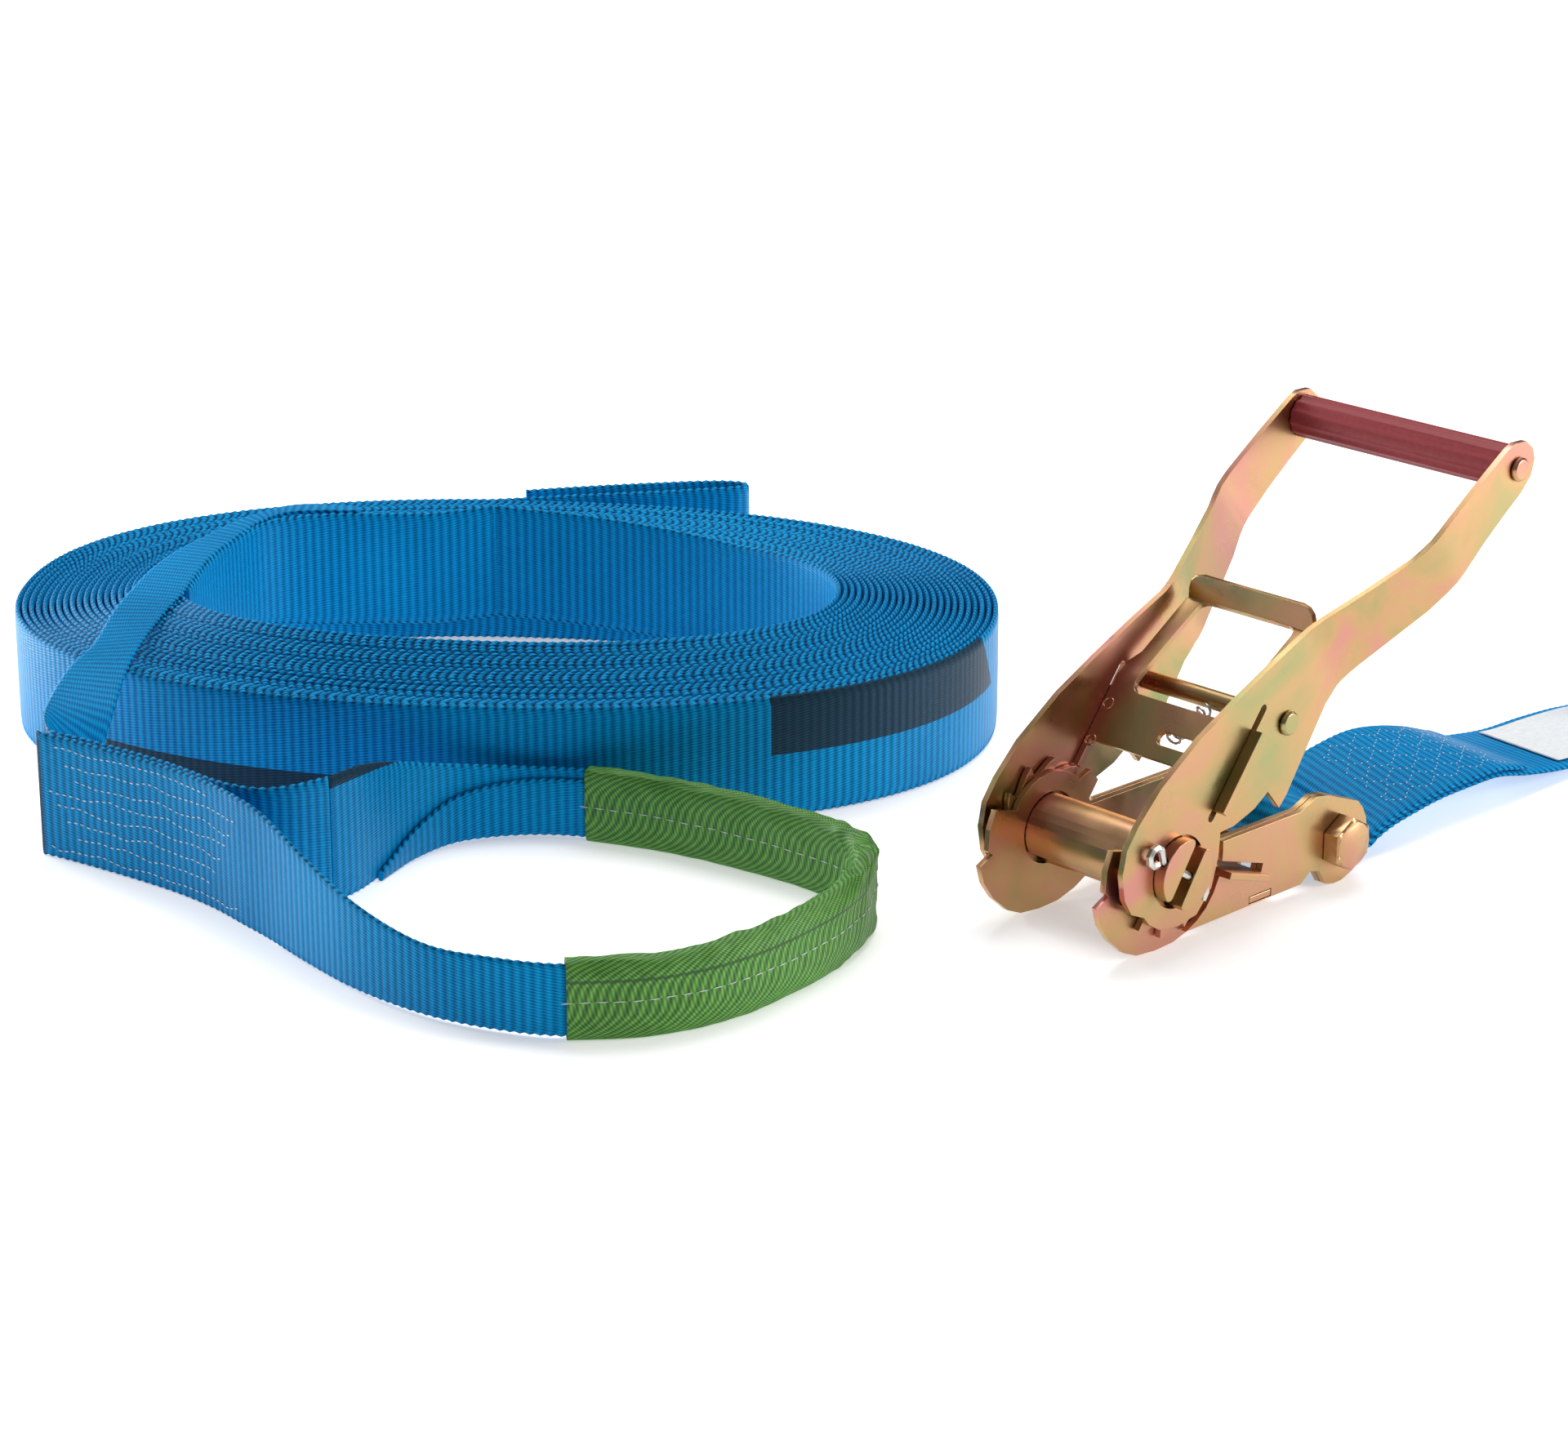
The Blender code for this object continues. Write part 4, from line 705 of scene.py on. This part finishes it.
# The fold ends at foldEnd, and the lead's wall starts at wallFrom and is alone for wallAlone points
lineLook = {
    "width": 50, "thick": 2.0, "steps": 6, "foldEnd": -2, "wallFrom": -34, "wallAlone": 8,
    "eyeLift": 1.5, "flapGap": 0.25, "flapLeast": 3, "endPrint": 0.05, "endPrintLow": 20.5, "cutEdge": 0.0012,
}


def makeFold():
    width, thick = lineLook["width"], lineLook["thick"]
    rail = [(coilLine[-1][0], up, width * mm, thick * mm)]
    for x, y in smooth(endFold, lineLook["steps"]):
        if x > lineLook["foldEnd"]:
            rail.append((linePoint(x, y, width / 2), up, width * mm, thick * mm))
    weave("lineEndFold", [rail], "line", "line_end_fold")


def makeLead():
    thick = lineLook["thick"]
    wall = [(coilLine[0][0], up, lineLook["width"] * mm, coilLine[0][3])]
    for x, y, z, width in smooth(leadWall, lineLook["steps"]):
        if x < lineLook["wallFrom"]:
            wall.append((linePoint(x, y, z - width / 2), up, width * mm, thick * mm))
    over = []
    for row in smooth([(*outer, *inner) for outer, inner in leadOver], lineLook["steps"]):
        outer, inner = Vector(row[:3]), Vector(row[3:])
        width = (outer - inner).length
        middle, way = (outer + inner) / 2, (outer - inner) / width
        over.append((linePoint(*middle), lineWay(*way), width * mm, thick * mm))
    # Past the part where the wall is alone, the two lie side by side as one width of webbing
    length = railLength(wall[:lineLook["wallAlone"]]) + railLength(over)
    weave("lineLead", [wall, over], "line", "line_lead", length=length)


# The loop's webbing is folded lengthwise: a wall, and a flap that grows up its inner side
def makeEye():
    thick = lineLook["thick"]
    rows = smooth(eye, lineLook["steps"])
    wall, flap = [], []
    for i, (x, y, height, doubled) in enumerate(rows):
        doubled = min(max(doubled, 0), 1)
        a, b = rows[max(i - 1, 0)], rows[min(i + 1, len(rows) - 1)]
        way = Vector((b[0] - a[0], b[1] - a[1])).normalized()
        lift = lineLook["eyeLift"] * doubled
        half = (thick + lineLook["flapGap"]) / 2 * doubled
        middle = linePoint(x + way.y * half, y - way.x * half, height / 2 + lift)
        wall.append((middle, up, height * mm, thick * mm))
        tall = lineLook["width"] - height
        if tall > lineLook["flapLeast"]:
            inward = half + (1 - doubled) * (thick + lineLook["flapGap"])
            middle = linePoint(x - way.y * inward, y + way.x * inward, tall / 2 + lift)
            flap.append((middle, up, tall * mm, thick * mm))
    full = railLength(wall)
    # A dark print along the end's upper edge, and the dark cut edge where the webbing starts
    finish = webMaterial("eye webbing with edge print", [
        (full - lineLook["endPrint"], full, 1, lineLook["endPrintLow"], 0.0),
        (-0.01, lineLook["cutEdge"], 1, -lineLook["width"], 0.0),
    ])
    weave("lineEye", [wall, flap], "line", "line_eye", finish)
    return wall


# From and to are points of the eye, and the cloth bunches up near the eye's tip
# Each row of folds: its share, how often it folds along, up and across the tube, and its seed's step
sleeve = {
    "from": 10, "to": 20, "tall": 30, "thick": 8.8, "around": 56, "perPoint": 22, "cloth": 0.7,
    "sidePower": 0.6, "topPower": 0.5, "girthShare": 0.86, "floorGap": 0.15,
    "wrinkle": 0.65, "seed": 11.3, "folds": ((1, 19, 1.6, 1.7, 0), (0.6, 47, -3.1, 2.3, 5)),
    "bunch": 1.6, "bunchAt": 0.52, "bunchWide": 0.12, "sideBulge": 2, "topBulge": 1.4, "lowBulge": 0.2,
    "ledge": 0.9, "ledgeFrom": 3, "ledgeLong": 11,
}


# One ring of the sleeve: a flattened tube whose broad sides swell and wrinkle, most of all on top
def sleeveRing(x, y, way, swell, share):
    ring = []
    bunched = 1 + sleeve["bunch"] * math.exp(-((share - sleeve["bunchAt"]) / sleeve["bunchWide"]) ** 2)
    for k in range(sleeve["around"]):
        turned = 2 * math.pi * k / sleeve["around"]
        c, s = math.cos(turned), math.sin(turned)
        off = (sleeve["thick"] / 2 + swell) * math.copysign(abs(c) ** sleeve["sidePower"], c)
        high = (sleeve["tall"] / 2 + swell) * math.copysign(abs(s) ** sleeve["topPower"], s)
        ledgeShare = (k - sleeve["ledgeFrom"]) / sleeve["ledgeLong"]
        if 0 <= ledgeShare <= 1:
            off += sleeve["ledge"] * (1 - ledgeShare)
        fold = 0
        for part, along, upward, across, step in sleeve["folds"]:
            fold += part * noise.noise((share * along + s * upward, c * across, sleeve["seed"] + step))
        bulge = sleeve["wrinkle"] * fold * bunched
        off += bulge * math.copysign(min(abs(c) * sleeve["sideBulge"], 1), c)
        high += bulge * (sleeve["topBulge"] * max(s, 0) + sleeve["lowBulge"] * min(s, 0))
        height = max(sleeve["tall"] / 2 + high, sleeve["floorGap"])
        ring.append(linePoint(x + way.y * off, y - way.x * off, height))
    return ring


def makeSleeve():
    rows = smooth(eye[sleeve["from"]:sleeve["to"] + 1], sleeve["perPoint"])
    outer, inner = [], []
    lengths = [0.0]
    for i, (x, y, *_) in enumerate(rows):
        a, b = rows[max(i - 1, 0)], rows[min(i + 1, len(rows) - 1)]
        way = Vector((b[0] - a[0], b[1] - a[1])).normalized()
        share = i / (len(rows) - 1)
        if i:
            lengths.append(lengths[-1] + math.dist(rows[i][:2], rows[i - 1][:2]))
        outer.append(sleeveRing(x, y, way, 0, share))
        inner.append(sleeveRing(x, y, way, -sleeve["cloth"], share))
    shape = bmesh.new()
    rings = [[shape.verts.new(p) for p in ring] for ring in outer]
    within = [[shape.verts.new(p) for p in ring] for ring in inner]
    layer = shape.loops.layers.uv.new("webUv")
    around = sleeve["around"]
    girth = 2 * (sleeve["tall"] + sleeve["thick"]) * sleeve["girthShare"]

    def face(corners, places):
        made = shape.faces.new(corners)
        made.smooth = True
        for loop, (along, across) in zip(made.loops, places):
            loop[layer].uv = (along * mm, across * mm)

    for i in range(len(rings) - 1):
        for k in range(around):
            n = (k + 1) % around
            low, high = girth * k / around, girth * (k + 1) / around
            s, e = lengths[i], lengths[i + 1]
            face((rings[i][k], rings[i][n], rings[i + 1][n], rings[i + 1][k]),
                 ((s, low), (s, high), (e, high), (e, low)))
            face((within[i][k], within[i + 1][k], within[i + 1][n], within[i][n]),
                 ((s, low), (e, low), (e, high), (s, high)))
    for k in range(around):
        n = (k + 1) % around
        low, high = girth * k / around, girth * (k + 1) / around
        places = [(0, low), (0, high), (0, high), (0, low)]
        face((rings[0][n], rings[0][k], within[0][k], within[0][n]), places)
        face((rings[-1][k], rings[-1][n], within[-1][n], within[-1][k]), places)
    bmesh.ops.recalc_face_normals(shape, faces=shape.faces)
    made = finishShape("eyeSleeve", shape, twill)
    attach(made, "line")
    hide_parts("eye_sleeve")
    return outer


makeFold()
makeLead()
eyeWall = makeEye()
sleeveRings = makeSleeve()
print("line made")


# Stitches of one size along the rails
def addStitches(name, rails, body, sizes):
    stitch = {label: sizes[label] * mm for label in ("pitch", "long", "thick")}
    made = grow(name, sewn, rails, {"finish": thread, **stitch})
    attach(made, body)


# A point of a rail, moved a share of the half width up and so far off the band's middle
def offsetRow(rail, i, paintedReliefLightShare, outward):
    place, top, width, thick = rail[i]
    way = (rail[min(i + 1, len(rail) - 1)][0] - rail[max(i - 1, 0)][0]).normalized()
    side = way.cross(top).normalized()
    return place + top * (width / 2 * paintedReliefLightShare) + side * outward, top, width, thick


# The ends of the block's rows are uneven: each row's step on from the last one's, and where that wraps
block = {
    "from": 2, "to": 24, "fromWrap": (3, 4), "toWrap": (5, 6), "rows": 8, "reach": 0.82,
    "stray": 0.09, "strayPoints": 2.0, "rowSeed": 3.1, "out": 1.1, "pitch": 3.3, "long": 2.2, "thick": 0.5,
}
seam = {"out": 0.15, "pitch": 6.0, "long": 4.4, "thick": 0.4}


# Rows along the sewn block, which stray a little and start and end unevenly
def makeBlockStitches():
    rails = []
    for k in range(block["rows"]):
        high = -block["reach"] + 2 * block["reach"] * k / (block["rows"] - 1)
        late, early = (k * step % wrap for step, wrap in (block["fromWrap"], block["toWrap"]))
        line = []
        for i in range(block["from"] + late, block["to"] - early):
            stray = block["stray"] * noise.noise((i / block["strayPoints"], k * block["rowSeed"], 0))
            line.append(offsetRow(eyeWall, i, high + stray, block["out"] * mm))
        rails.append(line)
    addStitches("blockStitches", rails, "line", block)


# A seam along each broad side of the sleeve, just proud of its cloth
def makeSleeveStitches():
    half = sleeve["around"] // 2
    rails = []
    for near, far in ((0, half), (half, 0)):
        rails.append([
            (ring[near] + (ring[near] - ring[far]).normalized() * seam["out"] * mm, up, 1, 1)
            for ring in sleeveRings
        ])
    addStitches("sleeveStitches", rails, "line", seam)


makeBlockStitches()
makeSleeveStitches()
print("line stitches made")

# The short strap, as heights of its lower layer's middle along the ratchet, with a tilt
strap = {
    "width": 50, "thick": 2.0, "layer": 2.4, "sewnTo": 6, "steps": 6, "span": 95, "drop": 14, "boltRadius": 6,
    "gap": 0.3, "sleeveWall": 2.2, "wrapFrom": 60, "wrapTurn": 225, "wrapSteps": 24,
    "loopEvery": 2, "loopSteps": 3, "rollCore": 9, "rollTurns": 11, "rollPitch": 2.4, "rollSteps": 48,
    "rollAhead": 0.6,
}
tag = {"from": 246, "to": 319, "width": 40, "thick": 0.5, "height": 1.85}
zigzag = {
    "from": 10, "short": 2, "rows": 7, "reach": 0.72, "swing": 0.09, "period": 5, "shift": 2,
    "out": 1.1, "pitch": 2.9, "long": 0.95, "thick": 0.5,
}
strapRoute = [
    (124, 10.3, 14.7), (136, 14.8, 15.9), (150, 17.25, 16.3), (168, 18.8, 15.4), (186, 17.65, 11.5),
    (204, 15.05, 6), (222, 10, 3), (240, 6.75, 2.7), (258, 4.6, 2.3), (280, 4, 2.1), (302, 2.95, 1.4),
    (324, 1.15, 0), (342, 1.15, 0), (358, 1.15, 0),
]
strapRows = [tuple(row) for row in smooth(strapRoute, strap["steps"])]
sewnLast = strap["sewnTo"] * strap["steps"]


def strapRow(x, z, tilt, width=strap["width"], thick=strap["thick"]):
    top = Vector((0, math.cos(tilt * deg), math.sin(tilt * deg)))
    return ratchetPoint(x, 0, z), top, width * mm, thick * mm


# A point of the strap's lower layer, raised square to the strap
def raisedRow(i, height):
    a, b = strapRows[max(i - 1, 0)], strapRows[min(i + 1, len(strapRows) - 1)]
    way = math.atan2(b[1] - a[1], b[0] - a[0])
    x, z, tilt = strapRows[i]
    return x - height * math.sin(way), z + height * math.cos(way), tilt


# The loop goes back over its upper layer, round the bolt and forward below
def makeLoop():
    upper = [raisedRow(i, strap["layer"]) for i in range(sewnLast, -1, -1)]
    boltZ = drumPlace.z / mm - strap["drop"]
    radius = strap["boltRadius"] + 2 * strap["gap"] + strap["sleeveWall"] + strap["thick"] / 2
    wrap = []
    for k in range(strap["wrapSteps"] + 1):
        turned = (strap["wrapFrom"] + strap["wrapTurn"] * k / strap["wrapSteps"]) * deg
        wrap.append((strap["span"] + radius * math.cos(turned), boltZ + radius * math.sin(turned), 0))
    every = strap["loopEvery"]
    loop = smooth([*upper[::every], *wrap[::every], *strapRows[:sewnLast + 1:every]], strap["loopSteps"])
    weave("strapLoop", [[strapRow(*row) for row in loop]], "ratchet", "strap_loop")


def makeRoll():
    outer = strap["rollCore"] + strap["rollTurns"] * strap["rollPitch"]
    middleX, middleZ = strapRows[-1][0] + strap["rollAhead"], strapRows[-1][1] + outer
    roll = []
    for k in range(strap["rollTurns"] * strap["rollSteps"] + 1):
        radius = outer - strap["rollPitch"] * k / strap["rollSteps"]
        turned = -math.pi / 2 + 2 * math.pi * k / strap["rollSteps"]
        roll.append((middleX + radius * math.cos(turned), middleZ + radius * math.sin(turned), 0))
    weave("strapRoll", [[strapRow(*row) for row in roll]], "ratchet", "strap_roll")


def makeStrapStitches():
    points = range(zigzag["from"], sewnLast - zigzag["short"])
    places = [strapRow(*raisedRow(i, strap["layer"])) for i in points]
    rails = []
    for k in range(zigzag["rows"]):
        base = -zigzag["reach"] + 2 * zigzag["reach"] * k / (zigzag["rows"] - 1)
        line = []
        for i in range(len(places)):
            turned = (i + k * zigzag["shift"]) / zigzag["period"] % 1
            high = base + zigzag["swing"] * (4 * abs(turned - 0.5) - 1)
            line.append(offsetRow(places, i, high, zigzag["out"] * mm))
        rails.append(line)
    addStitches("strapStitches", rails, "ratchet", zigzag)


def makeTag():
    points = [i for i, row in enumerate(strapRows) if tag["from"] <= row[0] <= tag["to"]]
    rows = [raisedRow(i, tag["height"]) for i in points]
    made = grow("strapTag", woven, [[strapRow(*row, tag["width"], tag["thick"]) for row in rows]], {
        "finish": labelTape, "wave": 0.0, "scallop": 0.0,
    })
    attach(made, "ratchet")
    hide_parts("strap_tag")


makeLoop()
weave("strapRun", [[strapRow(*row) for row in strapRows[sewnLast:]]], "ratchet", "strap_run")
makeRoll()
makeStrapStitches()
makeTag()
print("strap made")

rounding = {"sharp": 38, "flat": 1.0, "merge": 0.01, "segments": 2}


# A metal or plastic piece: a copy of its solid with rolled edges
def dress(node, finish, edge):
    source = nodes[node]
    shape = bmesh.new()
    shape.from_mesh(source.data)
    bmesh.ops.remove_doubles(shape, verts=shape.verts, dist=rounding["merge"] * mm)
    bmesh.ops.dissolve_limit(shape, angle_limit=rounding["flat"] * deg, verts=shape.verts, edges=shape.edges)
    made = finishShape(node + "Dressed", shape, finish)
    made.data.shade_smooth()
    if edge:
        made.data.set_sharp_from_angle(angle=rounding["sharp"] * deg)
        rolled = made.modifiers.new("rolledEdge", "BEVEL")
        rolled.width = edge * mm
        rolled.segments = rounding["segments"]
        rolled.limit_method = "ANGLE"
        rolled.angle_limit = rounding["sharp"] * deg
        rolled.harden_normals = True
    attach(made, source["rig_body"])
    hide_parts(node)
    return made


# Each plated piece and the radius of its edges
plated = {
    "drum_half_rear": 0.3, "drum_half_front": 0.3, "wheel_near": 0.35, "wheel_far": 0.35,
    "frame_side_near": 0.6, "frame_side_far": 0.6, "rear_plate_near": 0.6, "rear_plate_far": 0.6,
    "frame_base": 0.5, "frame_pawl": 0.4, "arm_near": 0.8, "arm_far": 0.8, "handle_pawl": 0.6,
    "spacer_tube": 0.2, "grip_rivet": 0.4, "spacer_rivet": 0.4, "anchor_bolt": 0.3, "anchor_nut": 0.3,
}
for plate, edgeRound in plated.items():
    dress(plate, yellowZinc, edgeRound)
for plate in ("cotter_pin_near", "cotter_pin_far", "anchor_sleeve"):
    dress(plate, clearZinc, edge=0.1)
dress("handle_grip", redGrip, edge=0.2)

# The frame pawl's spring sits on its seat at the far end, and is drawn back there to leave the pawl room
framePawlSpring = {"way": (0.956305, 0, -0.292372), "room": 2.2}


def drawBack(wire, way, room):
    places = np.empty(len(wire.vertices) * 3)
    wire.vertices.foreach_get("co", places)
    places = places.reshape(-1, 3)
    along = places @ np.array(way)
    share = (along.max() - along) / (along.max() - along.min())
    places += np.outer(share * room * mm, way)
    wire.vertices.foreach_set("co", places.ravel())
    wire.update()


drawBack(dress("frame_pawl_spring", clearZinc, edge=0).data, **framePawlSpring)
dress("handle_pawl_spring", clearZinc, edge=0)

# Coined dimples in the corners of the handle's pawl, with a low rim round each, placed from the drum's axis
dimples = {
    "spots": ((33.8, 39.6), (24.4, 27.4)), "side": 30, "radius": 2.1, "rim": 0.4, "height": 0.4,
    "facing": (-0.787, 0, 0.617), "around": 24, "ring": 8,
}


def makeDimples():
    shape = bmesh.new()
    facing, side = Vector(dimples["facing"]).normalized(), Vector((0, 1, 0))
    down = facing.cross(side)
    for x, z in dimples["spots"]:
        for y in (dimples["side"], -dimples["side"]):
            middle = ratchetPoint(x, y, drumPlace.z / mm + z)
            rings = []
            for i in range(dimples["around"]):
                turned = 2 * math.pi * i / dimples["around"]
                out = side * math.cos(turned) + down * math.sin(turned)
                ring = []
                for k in range(dimples["ring"]):
                    rolled = 2 * math.pi * k / dimples["ring"]
                    reach = dimples["radius"] + dimples["rim"] * math.cos(rolled)
                    lift = facing * dimples["height"] * math.sin(rolled)
                    ring.append(shape.verts.new(middle + (out * reach + lift) * mm))
                rings.append(ring)
            for a, b in zip(rings, [*rings[1:], rings[0]]):
                for k in range(dimples["ring"]):
                    n = (k + 1) % dimples["ring"]
                    shape.faces.new((a[k], a[n], b[n], b[k])).smooth = True
    bmesh.ops.recalc_face_normals(shape, faces=shape.faces)
    made = finishShape("pawlDimples", shape, yellowZinc)
    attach(made, "handle_pawl")


makeDimples()
print("metal made")

bpy.context.view_layer.update()
